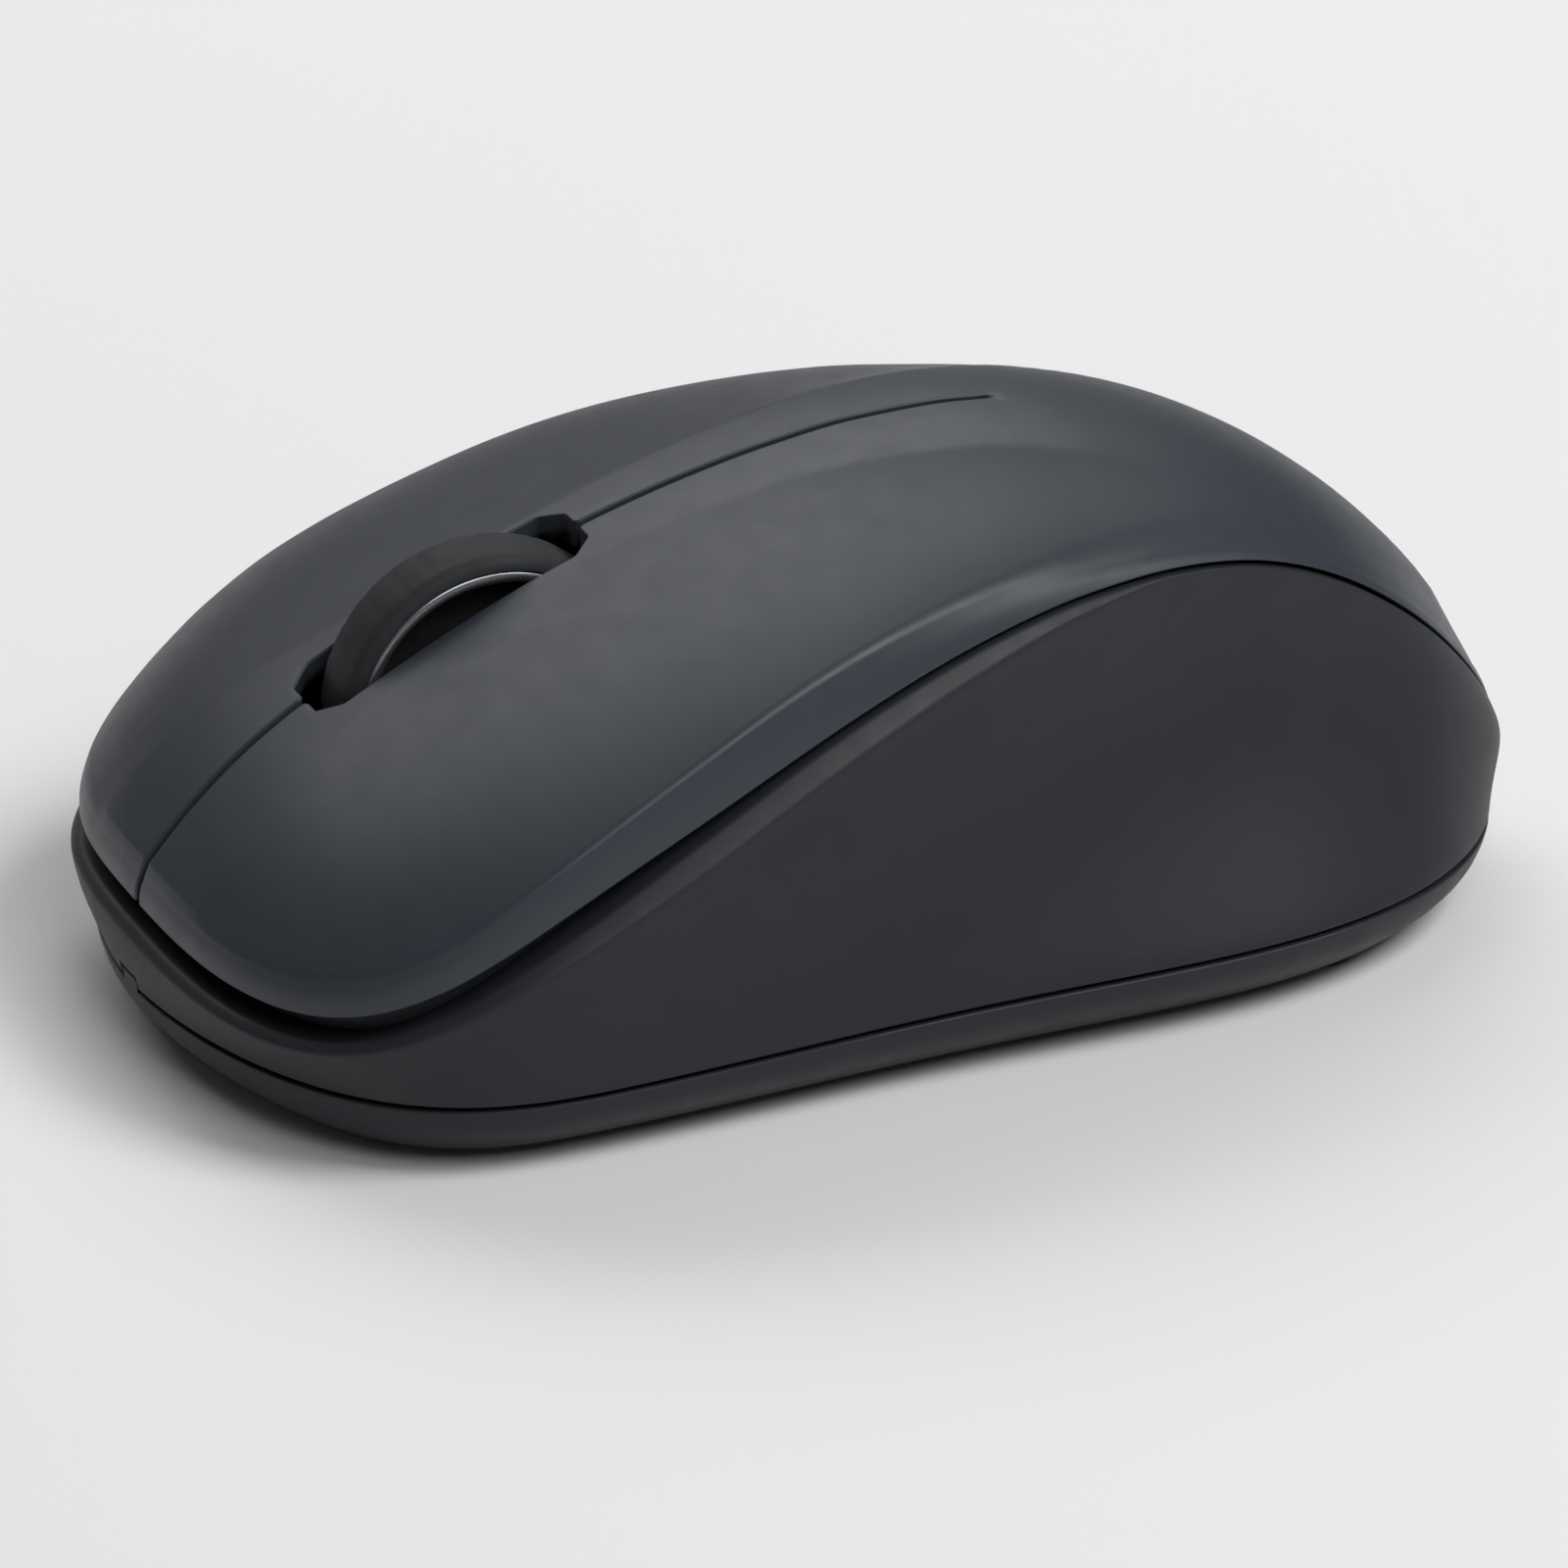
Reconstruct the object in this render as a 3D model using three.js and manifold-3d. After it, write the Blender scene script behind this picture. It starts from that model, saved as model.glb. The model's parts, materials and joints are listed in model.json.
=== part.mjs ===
// Compact wireless optical mouse, built as separate solids.
// Millimetres, +Z up. The nose points to -Y, the thumb side is +X, and the
// feet stand on z = 0 with the middle of the outline over the origin.
import * as THREE from 'three';
import { mergeVertices } from 'three/addons/utils/BufferGeometryUtils.js';
import Module from 'manifold-3d';

const wasm = await Module();
wasm.setup();

// ---------------------------------------------------------------- dimensions
const Y_SHIFT = 0.72;         // the outline's middle goes over the origin
const FLOOR_Z = 0.8;          // underside of the base, the feet stand 0.8 lower
const FLOOR_T = 1.5;          // base floor thickness
const WALL_T = 1.8;           // side shell and base wall thickness
const COVER_T = 1.6;          // top cover thickness
const SEAM = 0.3;             // seam between shells
const FLEX_Y = 12.24;         // where the keys bend out of the palm cover
const SLIT_W = 0.7;           // slit between the two keys
const SLOT = { y0: -37.7, y1: -18.1, half: 3.66, cut: 1.5 };  // wheel slot
const WHEEL = { y: -24.8, z: 21.8, r: 11.2, half: 2.7, hub: 9.7 };
const TAB = { half: 1.3, top: 5.8 };  // tab at the nose that centres the side shell
const PIVOT_X = -8.1;         // the wheel tips about the encoder
const BOARD = { z0: 7.0, z1: 8.6 };
const SWITCH = { x: 13.5, y: -35.4, l: 12.8, w: 5.8, h: 6.5, plungerY: -38.0 };
const CELL = { r: 7.25, y0: -8.0, y1: 42.5, z: 10.05 };        // AA cell
const DOOR = { half: 8.0, y0: -10.2, y1: 40.2, hingeY: 39.45, hingeZ: 1.55 };
const RECEIVER = { x: -13.8, y: 8.3 };
const POWER = { x: 15.0, y: -6.0, travel: 2.5 };
const SENSOR_Y = -16.2;
const CASE_SCREWS = [[15.5, 25], [-15.5, 25], [0, -43.4]];
const BOARD_SCREWS = [[18.2, -17.5], [-18.2, -17.5]];

// Rails of the right-hand half of the outline, nose to tail, evenly spaced.
const RIM_TOP = [[0,-50,10.76],[4.04,-49.97,10.76],[8.07,-49.79,10.73],[12.08,-49.32,10.66],[16.01,-48.43,10.6],
  [19.78,-46.98,10.65],[23.2,-44.84,11.04],[26.04,-41.98,12.03],[28.07,-38.49,13.74],[29.18,-34.61,15.96],
  [29.5,-30.59,18.2],[29.25,-26.56,20.15],[28.71,-22.56,21.87],[28.02,-18.58,23.5],[27.2,-14.63,25.07],
  [26.29,-10.7,26.55],[25.32,-6.78,27.89],[24.31,-2.87,29.06],[23.28,1.03,30.04],[22.24,4.93,30.8],
  [21.2,8.83,31.34],[20.12,12.72,31.53],[19.09,16.62,31.53],[18.1,20.53,31.16],[17.22,24.47,30.39],
  [16.35,28.41,29.03],[15.35,32.32,27.02],[14.11,36.16,24.37],[12.4,39.81,21.2],[10.09,43.11,17.67],
  [7.22,45.94,14.19],[3.83,48.12,11.29],[0,49.3,10.35]];
const CREASE = [[0,-49.5,13],[4.02,-49.47,13],[8.03,-49.29,12.98],[11.99,-48.83,12.95],[15.87,-47.97,12.95],
  [19.56,-46.55,13.1],[22.91,-44.48,13.62],[25.68,-41.7,14.79],[27.65,-38.31,16.7],[28.74,-34.53,19.12],
  [29.01,-30.58,21.57],[28.67,-26.61,23.73],[28.01,-22.66,25.64],[27.19,-18.74,27.39],[26.26,-14.83,29.01],
  [25.24,-10.95,30.37],[24.15,-7.08,31.45],[23.01,-3.21,32.27],[21.86,0.65,32.88],[20.7,4.52,33.31],
  [19.53,8.37,33.52],[18.34,12.23,33.41],[17.21,16.13,33.21],[16.14,20.07,32.69],[15.21,24.03,31.84],
  [14.36,27.94,30.53],[13.4,31.76,28.64],[12.25,35.43,26.18],[10.71,38.83,23.31],[8.67,41.91,20.21],
  [6.12,44.56,17.13],[3.13,46.61,14.65],[0,47.7,13.95]];
const PARTING = [[0,-50.56,5.04],[4.12,-50.31,5.04],[8.2,-49.69,5.05],[12.21,-48.74,5.06],[16.12,-47.43,5.07],
  [19.86,-45.69,5.08],[23.3,-43.42,5.1],[26.22,-40.51,5.13],[28.3,-36.96,5.16],[29.38,-32.99,5.19],
  [29.62,-28.87,5.22],[29.41,-24.75,5.26],[29.04,-20.64,5.29],[28.62,-16.54,5.33],[28.17,-12.43,5.36],
  [27.72,-8.33,5.4],[27.32,-4.22,5.43],[27,-0.11,5.47],[26.76,4.01,5.5],[26.59,8.13,5.54],[26.43,12.26,5.57],
  [26.22,16.38,5.61],[25.85,20.49,5.64],[25.21,24.57,5.68],[24.19,28.56,5.71],[22.71,32.41,5.74],
  [20.73,36.03,5.77],[18.22,39.3,5.8],[15.23,42.14,5.83],[11.82,44.46,5.84],[8.08,46.19,5.86],
  [4.1,47.27,5.87],[0,47.65,5.87]];
const FLOOR_EDGE = [[0,-47.09,0.8],[3.77,-46.91,0.8],[7.5,-46.44,0.8],[11.2,-45.68,0.8],[14.81,-44.59,0.8],[18.27,-43.1,0.8],
  [21.43,-41.07,0.8],[24.01,-38.34,0.8],[25.59,-34.93,0.8],[26.11,-31.21,0.8],[26,-27.44,0.8],
  [25.71,-23.68,0.8],[25.36,-19.93,0.8],[24.96,-16.18,0.8],[24.54,-12.43,0.8],[24.11,-8.68,0.8],
  [23.7,-4.93,0.8],[23.35,-1.18,0.8],[23.06,2.58,0.8],[22.82,6.34,0.8],[22.62,10.11,0.8],[22.39,13.87,0.8],
  [22.08,17.63,0.8],[21.6,21.36,0.8],[20.86,25.06,0.8],[19.77,28.67,0.8],[18.26,32.12,0.8],[16.27,35.32,0.8],
  [13.77,38.13,0.8],[10.79,40.43,0.8],[7.4,42.08,0.8],[3.76,43.02,0.8],[0,43.29,0.8]];
const SPINE = [[-49.5,13.32],[-48.5,14.56],[-46,17.32],[-42,20.84],[-38,23.57],[-34,25.86],[-28,28.99],[-22,31.73],
  [-16,33.95],[-10,35.7],[-4,37.04],[2,37.93],[8,38.19],[14,37.7],[20,36.45],[26,34.43],[32,31.4],[37,27.79],
  [41,23.91],[44,20.23],[46.3,16.4],[47.7,14.1]];

// ---------------------------------------------------------------- helpers
const KY_GAP = [-50, -40, -30, -20, -10, 0, 12, 50];
const GAP = [1.65, 1.65, 1.7, 1.15, 0.62, 0.42, 0.32, 0.32];   // shadow gap under the top cover
const KY_SHOULDER = [-50, -40, -30, -20, -10, 0, 10, 18, 50];
const SHOULDER = [0.8, 1.0, 1.6, 2.0, 2.0, 1.7, 1.0, 0.3, 0.15]; // rounded upper edge of the side shell
const KY_SCOOP = [-50, -40, -30, -20, -10, 0, 10, 20, 30, 40, 46, 50];
const SCOOP = [-0.3, 0.0, 0.6, 1.3, 1.9, 2.3, 2.6, 2.6, 1.9, -0.3, -0.95, -0.6]; // thumb hollow
const KY_POWER = [-50, -35, -15, 15, 50];
const POWER_N = [3.3, 2.7, 2.2, 2.2, 2.05];                     // fullness of the cover's cross-section
const KY_DISH = [-50, -42, -36, -15, 2, 16, 28, 50];
const DISH = [0.25, 0.4, 0.65, 0.95, 0.95, 0.45, 0, 0];             // finger hollows in the keys
const KY_RIDGE = [-50, -42, -36, -30, -22, -15, -5, 8, 20, 50];
const RIDGE = [10, 8.5, 6.6, 5.2, 4.4, 4.7, 5.6, 7.2, 9, 9];    // half width of the flat spine

function lerpTable(xs, ys, x) {
  if (x <= xs[0]) return ys[0];
  const n = xs.length;
  if (x >= xs[n - 1]) return ys[n - 1];
  let i = 0;
  while (x > xs[i + 1]) i++;
  // monotone cubic between knots
  const h = xs[i + 1] - xs[i];
  const d = (j) => (ys[j + 1] - ys[j]) / (xs[j + 1] - xs[j]);
  const m = (j) => {
    if (j <= 0) return d(0);
    if (j >= n - 1) return d(n - 2);
    const a = d(j - 1), b = d(j);
    return a * b <= 0 ? 0 : (2 * a * b) / (a + b);
  };
  const t = (x - xs[i]) / h;
  const t2 = t * t, t3 = t2 * t;
  return (2 * t3 - 3 * t2 + 1) * ys[i] + (t3 - 2 * t2 + t) * h * m(i)
    + (-2 * t3 + 3 * t2) * ys[i + 1] + (t3 - t2) * h * m(i + 1);
}

// Height of the top cover's outer surface.
const creaseY = CREASE.map((p) => p[1]);
const creaseX = CREASE.map((p) => p[0]);
const creaseZ = CREASE.map((p) => p[2]);
const spineY = SPINE.map((p) => p[0]);
const spineZ = SPINE.map((p) => p[1]);
function topZ(x, y) {
  const yy = Math.min(Math.max(y, creaseY[0]), creaseY[creaseY.length - 1]);
  const xe = Math.max(lerpTable(creaseY, creaseX, yy), 0.01);
  const ze = lerpTable(creaseY, creaseZ, yy);
  const zc = lerpTable(spineY, spineZ, yy);
  const n = lerpTable(KY_POWER, POWER_N, yy);
  const ax = Math.min(Math.abs(x), xe);
  let z = ze + (zc - ze) * (1 - Math.pow(ax / xe, n));
  const rw = lerpTable(KY_RIDGE, RIDGE, yy);
  if (ax > rw && xe > rw + 0.5) {
    const v = (ax - rw) / (xe - rw);
    z -= lerpTable(KY_DISH, DISH, yy) * 3.0 * v * Math.pow(1 - v, 1.5) * 1.05;
  }
  return z;
}

// Outward plan normal along a half rail.
function railNormal(rail, i) {
  const n = rail.length - 1;
  const mir = (k) => (k < 0 ? [-rail[-k][0], rail[-k][1]] : k > n ? [-rail[2 * n - k][0], rail[2 * n - k][1]] : rail[k]);
  const a = mir(i - 1), b = mir(i + 1);
  const dx = b[0] - a[0], dy = b[1] - a[1], l = Math.hypot(dx, dy);
  return [dy / l, -dx / l];
}
// A half rail becomes a full ring; f(point, normal, index) gives each half point.
function ring(rail, f) {
  const half = rail.map((p, i) => f(p, railNormal(rail, i), i));
  half[0][0] = 0;
  half[half.length - 1][0] = 0;
  const out = half.map((p) => p.slice());
  for (let i = half.length - 2; i > 0; i--) out.push([-half[i][0], half[i][1], half[i][2]]);
  return out;
}

// Skin rings into triangles. Rings run counter-clockwise seen from above.
function skin(rings, { wrap = false, capFirst = null, capLast = null, flip = false } = {}) {
  const n = rings[0].length, pos = [], tri = [];
  for (const r of rings) for (const p of r) pos.push(p);
  const rows = wrap ? rings.length : rings.length - 1;
  for (let j = 0; j < rows; j++) {
    const a = j * n, b = ((j + 1) % rings.length) * n;
    for (let i = 0; i < n; i++) {
      const k = (i + 1) % n;
      tri.push([a + i, a + k, b + k], [a + i, b + k, b + i]);
    }
  }
  const cap = (centre, j, last) => {
    pos.push(centre);
    const c = pos.length - 1;
    for (let i = 0; i < n; i++) {
      const k = (i + 1) % n;
      tri.push(last ? [j * n + i, j * n + k, c] : [j * n + k, j * n + i, c]);
    }
  };
  if (capFirst) cap(capFirst, 0, false);
  if (capLast) cap(capLast, rings.length - 1, true);
  const g = new THREE.BufferGeometry();
  g.setAttribute('position', new THREE.Float32BufferAttribute(pos.flat(), 3));
  g.setIndex(tri.flatMap((t) => (flip ? [t[0], t[2], t[1]] : t)));
  return g;
}

function toSolid(geometry) {
  let g = geometry.clone();
  g.deleteAttribute('normal');
  g.deleteAttribute('uv');
  g = mergeVertices(g, 1e-4);
  const idx = g.index.array, keep = [];
  for (let i = 0; i < idx.length; i += 3) {
    const [a, b, c] = [idx[i], idx[i + 1], idx[i + 2]];
    if (a !== b && b !== c && c !== a) keep.push(a, b, c);
  }
  return new wasm.Manifold(new wasm.Mesh({
    numProp: 3,
    vertProperties: new Float32Array(g.attributes.position.array),
    triVerts: new Uint32Array(keep),
  }));
}
function toGeometry(solid) {
  const m = solid.getMesh();
  const g = new THREE.BufferGeometry();
  g.setAttribute('position', new THREE.Float32BufferAttribute(new Float32Array(m.vertProperties), 3));
  g.setIndex(new THREE.Uint32BufferAttribute(new Uint32Array(m.triVerts), 1));
  return g;
}
const join = (...s) => s.reduce((a, b) => a.add(b));
const cut = (a, ...s) => s.reduce((x, y) => x.subtract(y), a);

// Primitives, placed by their corners or ends.
function box(x0, x1, y0, y1, z0, z1) {
  return new THREE.BoxGeometry(x1 - x0, y1 - y0, z1 - z0)
    .translate((x0 + x1) / 2, (y0 + y1) / 2, (z0 + z1) / 2);
}
function rodZ(x, y, z0, z1, r, seg = 20, r2 = r) {
  return new THREE.CylinderGeometry(r2, r, z1 - z0, seg).rotateX(Math.PI / 2).translate(x, y, (z0 + z1) / 2);
}
function rodX(x0, x1, y, z, r, seg = 20) {
  return new THREE.CylinderGeometry(r, r, x1 - x0, seg).rotateZ(Math.PI / 2).translate((x0 + x1) / 2, y, z);
}
function rodY(y0, y1, x, z, r, seg = 24) {
  return new THREE.CylinderGeometry(r, r, y1 - y0, seg).translate(x, (y0 + y1) / 2, z);
}
// Plan outline extruded between two heights.
function slab(points, z0, z1, holes = []) {
  const s = new THREE.Shape(points.map((p) => new THREE.Vector2(p[0], p[1])));
  for (const h of holes) s.holes.push(new THREE.Path(h.map((p) => new THREE.Vector2(p[0], p[1]))));
  return new THREE.ExtrudeGeometry(s, { depth: z1 - z0, bevelEnabled: false }).translate(0, 0, z0);
}
// Rounded rectangle outline.
function roundRect(cx, cy, w, h, r, seg = 3) {
  const out = [];
  const q = [[1, 1, 0], [-1, 1, 90], [-1, -1, 180], [1, -1, 270]];
  for (const [sx, sy, a0] of q) {
    for (let i = 0; i <= seg; i++) {
      const a = ((a0 + (90 * i) / seg) * Math.PI) / 180;
      out.push([cx + sx * (w / 2 - r) + r * Math.cos(a), cy + sy * (h / 2 - r) + r * Math.sin(a)]);
    }
  }
  return out;
}
// Turned profile about an X axis through (y, z): points are [x, radius].
function turnX(profile, y, z, seg = 48) {
  const pts = profile.map((p) => new THREE.Vector2(p[1], p[0]));
  return new THREE.LatheGeometry(pts, seg).rotateZ(-Math.PI / 2).translate(0, y, z);
}

const group = new THREE.Group();
group.position.y = Y_SHIFT;
function part(name, geometry, color, roughness = 0.55, metalness = 0) {
  let g = geometry;
  if (!(g instanceof THREE.BufferGeometry)) g = toGeometry(g);
  if (!g.attributes.normal) g.computeVertexNormals();
  const m = new THREE.Mesh(g, new THREE.MeshStandardMaterial({ color, roughness, metalness }));
  m.name = name;
  group.add(m);
}

// ---------------------------------------------------------------- top cover
const coverOuter = [];
const coverInner = [];
coverOuter.push(ring(RIM_TOP, (p) => [p[0], p[1], p[2]]));
coverOuter.push(ring(CREASE, (p) => [p[0], p[1], p[2]]));
const SHRINK = [0.86, 0.7, 0.54, 0.38, 0.22, 0.1];
const shrunk = (p, s) => [p[0] * s, p[1] * (s + (1 - s) * 0.25)];
for (const s of SHRINK) {
  coverOuter.push(ring(CREASE, (p) => { const [x, y] = shrunk(p, s); return [x, y, topZ(x, y)]; }));
}
coverInner.push(ring(RIM_TOP, (p, n) => [p[0] - COVER_T * n[0], p[1] - COVER_T * n[1], p[2]]));
coverInner.push(ring(RIM_TOP, (p, n, i) => {
  const c = CREASE[i];
  return [c[0] - COVER_T * n[0], c[1] - COVER_T * n[1], Math.max(c[2] - 1.3, p[2] + 0.25)];
}));
for (const s of SHRINK) {
  coverInner.push(ring(CREASE, (p, n) => {
    const [x, y] = shrunk([p[0] - COVER_T * n[0], p[1] - COVER_T * n[1]], s);
    return [x, y, topZ(x, y) - COVER_T * 1.12];
  }));
}
const spineTop = (y) => topZ(0, y);
const cover = toSolid(skin([...coverInner.slice().reverse(), ...coverOuter], {
  capFirst: [0, 0, spineTop(0) - COVER_T * 1.12], capLast: [0, 0, spineTop(0)],
}));

const BIG = 80;
const s0 = SLOT.y0, s1 = SLOT.y1, sh = SLOT.half, sc = SLOT.cut;
const slotOutline = [[sh, s0 + sc], [sh, s1 - sc], [sh - sc, s1], [-sh + sc, s1], [-sh, s1 - sc], [-sh, s0 + sc], [-sh + sc, s0], [sh - sc, s0]];
const slotCut = toSolid(slab(slotOutline, 5, 60));
const slitCut = toSolid(box(-SLIT_W / 2, SLIT_W / 2, -60, FLEX_Y + SEAM, 5, 60));
const openCover = cut(cover, slotCut, slitCut);
const leftHalf = toSolid(box(0, BIG, -BIG, FLEX_Y, -5, BIG));
const rightHalf = toSolid(box(-BIG, 0, -BIG, FLEX_Y, -5, BIG));
const rearPart = toSolid(box(-BIG, BIG, FLEX_Y + SEAM, BIG, -5, BIG));
const plungerTop = BOARD.z1 + 0.3 + SWITCH.h + 0.9;
function key(side, half) {
  // skirt of the key plus the rib that presses its switch
  const x = side * SWITCH.x;
  const rib = toSolid(box(x - 1.1, x + 1.1, SWITCH.plungerY - 1.5, SWITCH.plungerY + 1.5, plungerTop + SEAM, topZ(x, SWITCH.plungerY) - 1.35));
  return join(openCover.intersect(half), rib);
}
part('palm_cover', openCover.intersect(rearPart), '#42474d', 0.5);
part('left_key', key(1, leftHalf), '#42474d', 0.5);
part('right_key', key(-1, rightHalf), '#42474d', 0.5);

// ---------------------------------------------------------------- side shell
const upper = RIM_TOP.map((p) => [p[0], p[1], p[2] - lerpTable(KY_GAP, GAP, p[1])]);
const lower = PARTING.map((p) => [p[0], p[1], p[2] + SEAM / 2]);
const shoulder = upper.map((p, i) => {
  const n = railNormal(RIM_TOP, i), w = lerpTable(KY_SHOULDER, SHOULDER, p[1]);
  return [p[0] + 0.75 * w * n[0], p[1] + 0.75 * w * n[1], p[2] - 0.75 * w];
});
const wallPoint = (i, t, inset) => {
  // t = 0 at the parting line, 1 at the shoulder
  const a = lower[i], b = shoulder[i];
  const na = railNormal(PARTING, i), nb = railNormal(RIM_TOP, i);
  let nx = na[0] * (1 - t) + nb[0] * t, ny = na[1] * (1 - t) + nb[1] * t;
  const l = Math.hypot(nx, ny); nx /= l; ny /= l;
  const y = a[1] * (1 - t) + b[1] * t;
  const depth = lerpTable(KY_SCOOP, SCOOP, y) * Math.sin(Math.PI * Math.pow(t, 1.15)) + inset;
  return [a[0] * (1 - t) + b[0] * t - depth * nx, y - depth * ny, a[2] * (1 - t) + b[2] * t];
};
const idx = RIM_TOP.map((_, i) => i);
const ringOf = (f) => { const half = idx.map(f); half[0][0] = 0; half[half.length - 1][0] = 0; const out = half.map((p) => p.slice()); for (let i = half.length - 2; i > 0; i--) out.push([-half[i][0], half[i][1], half[i][2]]); return out; };
const inTop = (i, d, dz) => { const p = upper[i], n = railNormal(RIM_TOP, i); return [p[0] - d * n[0], p[1] - d * n[1], p[2] + dz]; };
const LIP_IN = 2.35, LIP_T = 1.0;
const lipHeight = (i) => lerpTable([-50, -16, -2, 28, 43, 50], [1.3, 1.2, -0.15, -0.15, -0.75, -0.75], upper[i][1]); // light trap behind the shadow gap
const sideRings = [
  ...[0, 0.22, 0.45, 0.68, 0.87, 1].map((t) => ringOf((i) => wallPoint(i, t, 0))),
  ringOf((i) => inTop(i, 0, 0)),
  ringOf((i) => inTop(i, LIP_IN, lerpTable([-50, 28, 43, 50], [0, 0, -0.6, -0.6], upper[i][1]))),
  ringOf((i) => inTop(i, LIP_IN + 0.05, lipHeight(i))),
  ringOf((i) => inTop(i, LIP_IN + LIP_T, lipHeight(i))),
  ringOf((i) => inTop(i, LIP_IN + LIP_T + 0.1, -1.2)),
  ...[0.7, 0.35, 0].map((t) => ringOf((i) => wallPoint(i, t, WALL_T))),
];
let sideShell = toSolid(skin(sideRings, { wrap: true }));
// Screw posts that hang from the shell wall, and the notch for the base's front tab.
const posts = [];
for (const [x, y] of CASE_SCREWS) {
  posts.push(toSolid(rodZ(x, y, 4.8, 13.5, 2.5, 20)));
  if (x === 0) posts.push(toSolid(box(-1.1, 1.1, -48.2, y - 1.6, 6.2, 9.4)));
  else {
    const xs = [x + Math.sign(x) * 1.6, x + Math.sign(x) * 6.7];
    posts.push(toSolid(box(Math.min(...xs), Math.max(...xs), y - 0.8, y + 0.8, 6.2, 9.6)));
  }
}
const postBores = CASE_SCREWS.map(([x, y]) => toSolid(rodZ(x, y, 4, 12, 1.15, 16)));
const tabNotch = toSolid(box(-TAB.half - SEAM, TAB.half + SEAM, -54, -44, 0, TAB.top + SEAM));
sideShell = cut(join(sideShell, ...posts), ...postBores, tabNotch);
part('side_shell', sideShell, '#35393d', 0.6);

// ---------------------------------------------------------------- base
const baseRim = PARTING.map((p) => [p[0], p[1], p[2] - SEAM / 2]);
const basePoint = (i, t, inset) => {
  // t = 0 at the floor edge, 1 at the parting line, swelling a little between
  const a = FLOOR_EDGE[i], b = baseRim[i], n = railNormal(PARTING, i);
  const swell = 0.9 * Math.sin(Math.PI * t) - inset;
  return [a[0] * (1 - t) + b[0] * t + swell * n[0], a[1] * (1 - t) + b[1] * t + swell * n[1], a[2] * (1 - t) + b[2] * t];
};
const innerFloor = FLOOR_Z + FLOOR_T;
const baseRings = [
  ...[0, 0.3, 0.65, 1].map((t) => ringOf((i) => basePoint(i, t, 0))),
  ringOf((i) => basePoint(i, 1, WALL_T)),
  ringOf((i) => { const p = basePoint(i, 0.36, WALL_T + 0.3); return [p[0], p[1], innerFloor]; }),
];
// the tab's face lies flush with the base and the side shell
const noseBody = toSolid(skin([
  ...[0.3, 0.65, 1].map((t) => ringOf((i) => basePoint(i, t, 0.02))),
  ...[0, 0.22, 0.45].map((t) => ringOf((i) => wallPoint(i, t, 0.02))),
], { capFirst: [0, 0, 3], capLast: [0, 0, 9] }));
const frontTab = toSolid(box(-TAB.half, TAB.half, -54, -47.6, 2.8, TAB.top)).intersect(noseBody);
let base = toSolid(skin(baseRings, { capFirst: [0, 0, FLOOR_Z], capLast: [0, 0, innerFloor] }));
const addBase = [
  frontTab,
  // battery bay walls
  toSolid(box(8.3, 9.3, -11.7, 42.6, innerFloor - 0.2, 8.2)),
  toSolid(box(-9.3, -8.3, -11.7, 42.6, innerFloor - 0.2, 8.2)),
  toSolid(box(-9.3, 9.3, -12.7, -11.7, innerFloor - 0.2, 6.4)),
  // receiver sleeve
  toSolid(slab(roundRect(RECEIVER.x, RECEIVER.y, 8.0, 16.8, 0.8), innerFloor - 0.2, 8.6)),
  // bosses under the board and round the case screws
  ...BOARD_SCREWS.map(([x, y]) => toSolid(rodZ(x, y, innerFloor - 0.2, BOARD.z0 - 0.3, 2.2, 16))),
  ...CASE_SCREWS.map(([x, y]) => toSolid(rodZ(x, y, innerFloor - 0.2, 4.5, 3.1, 20))),
];
const cutBase = [
  toSolid(box(-DOOR.half - 0.3, DOOR.half + 0.3, DOOR.y0 - 0.3, DOOR.y1 + 0.3, 0, innerFloor + 0.5)),
  toSolid(slab(roundRect(RECEIVER.x, RECEIVER.y, 6.4, 15.0, 0.8), 0, 12)),
  ...BOARD_SCREWS.map(([x, y]) => toSolid(rodZ(x, y, 3.2, 12, 1.05, 12))),
  ...CASE_SCREWS.map(([x, y]) => toSolid(rodZ(x, y, 2.9, 12, 1.15, 16))),
  ...CASE_SCREWS.map(([x, y]) => toSolid(rodZ(x, y, -1, 2.9, 2.3, 20))),
  toSolid(box(POWER.x - 2.3, POWER.x + 2.3, POWER.y - 4.1, POWER.y + 4.1, 0, innerFloor + 1)),
  toSolid(slab(roundRect(0, SENSOR_Y, 6.4, 9.0, 2.0), 0, 4)),
];
base = cut(join(base, ...addBase), ...cutBase);
part('base_shell', base, '#33373b', 0.6);

// Battery door: a plate whose rear end is rounded about its hinge line, with a spring latch.
{
  const r = 0.75, prof = new THREE.Shape();
  prof.moveTo(DOOR.y0, FLOOR_Z);
  prof.lineTo(DOOR.hingeY, FLOOR_Z);
  for (let i = 1; i <= 8; i++) {
    const a = -Math.PI / 2 + (Math.PI * i) / 8;
    prof.lineTo(DOOR.hingeY + r * Math.cos(a), DOOR.hingeZ + r * Math.sin(a));
  }
  prof.lineTo(DOOR.y0, FLOOR_Z + FLOOR_T);
  prof.closePath();
  const plate = toSolid(new THREE.ExtrudeGeometry(prof, { depth: 2 * DOOR.half, bevelEnabled: false })
    .rotateX(Math.PI / 2).rotateZ(Math.PI / 2).translate(-DOOR.half, 0, 0));
  const latch = toSolid(box(-4, 4, DOOR.y0 + 0.2, DOOR.y0 + 1.1, FLOOR_Z + FLOOR_T - 0.2, FLOOR_Z + FLOOR_T + 2.2));
  const grips = [0, 1, 2].map((k) => toSolid(box(-3.5, 3.5, DOOR.y0 + 3.2 + 1.5 * k, DOOR.y0 + 3.9 + 1.5 * k, 0, FLOOR_Z + 0.35)));
  part('battery_door', cut(join(plate, latch), ...grips), '#33373b', 0.6);
}

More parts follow.
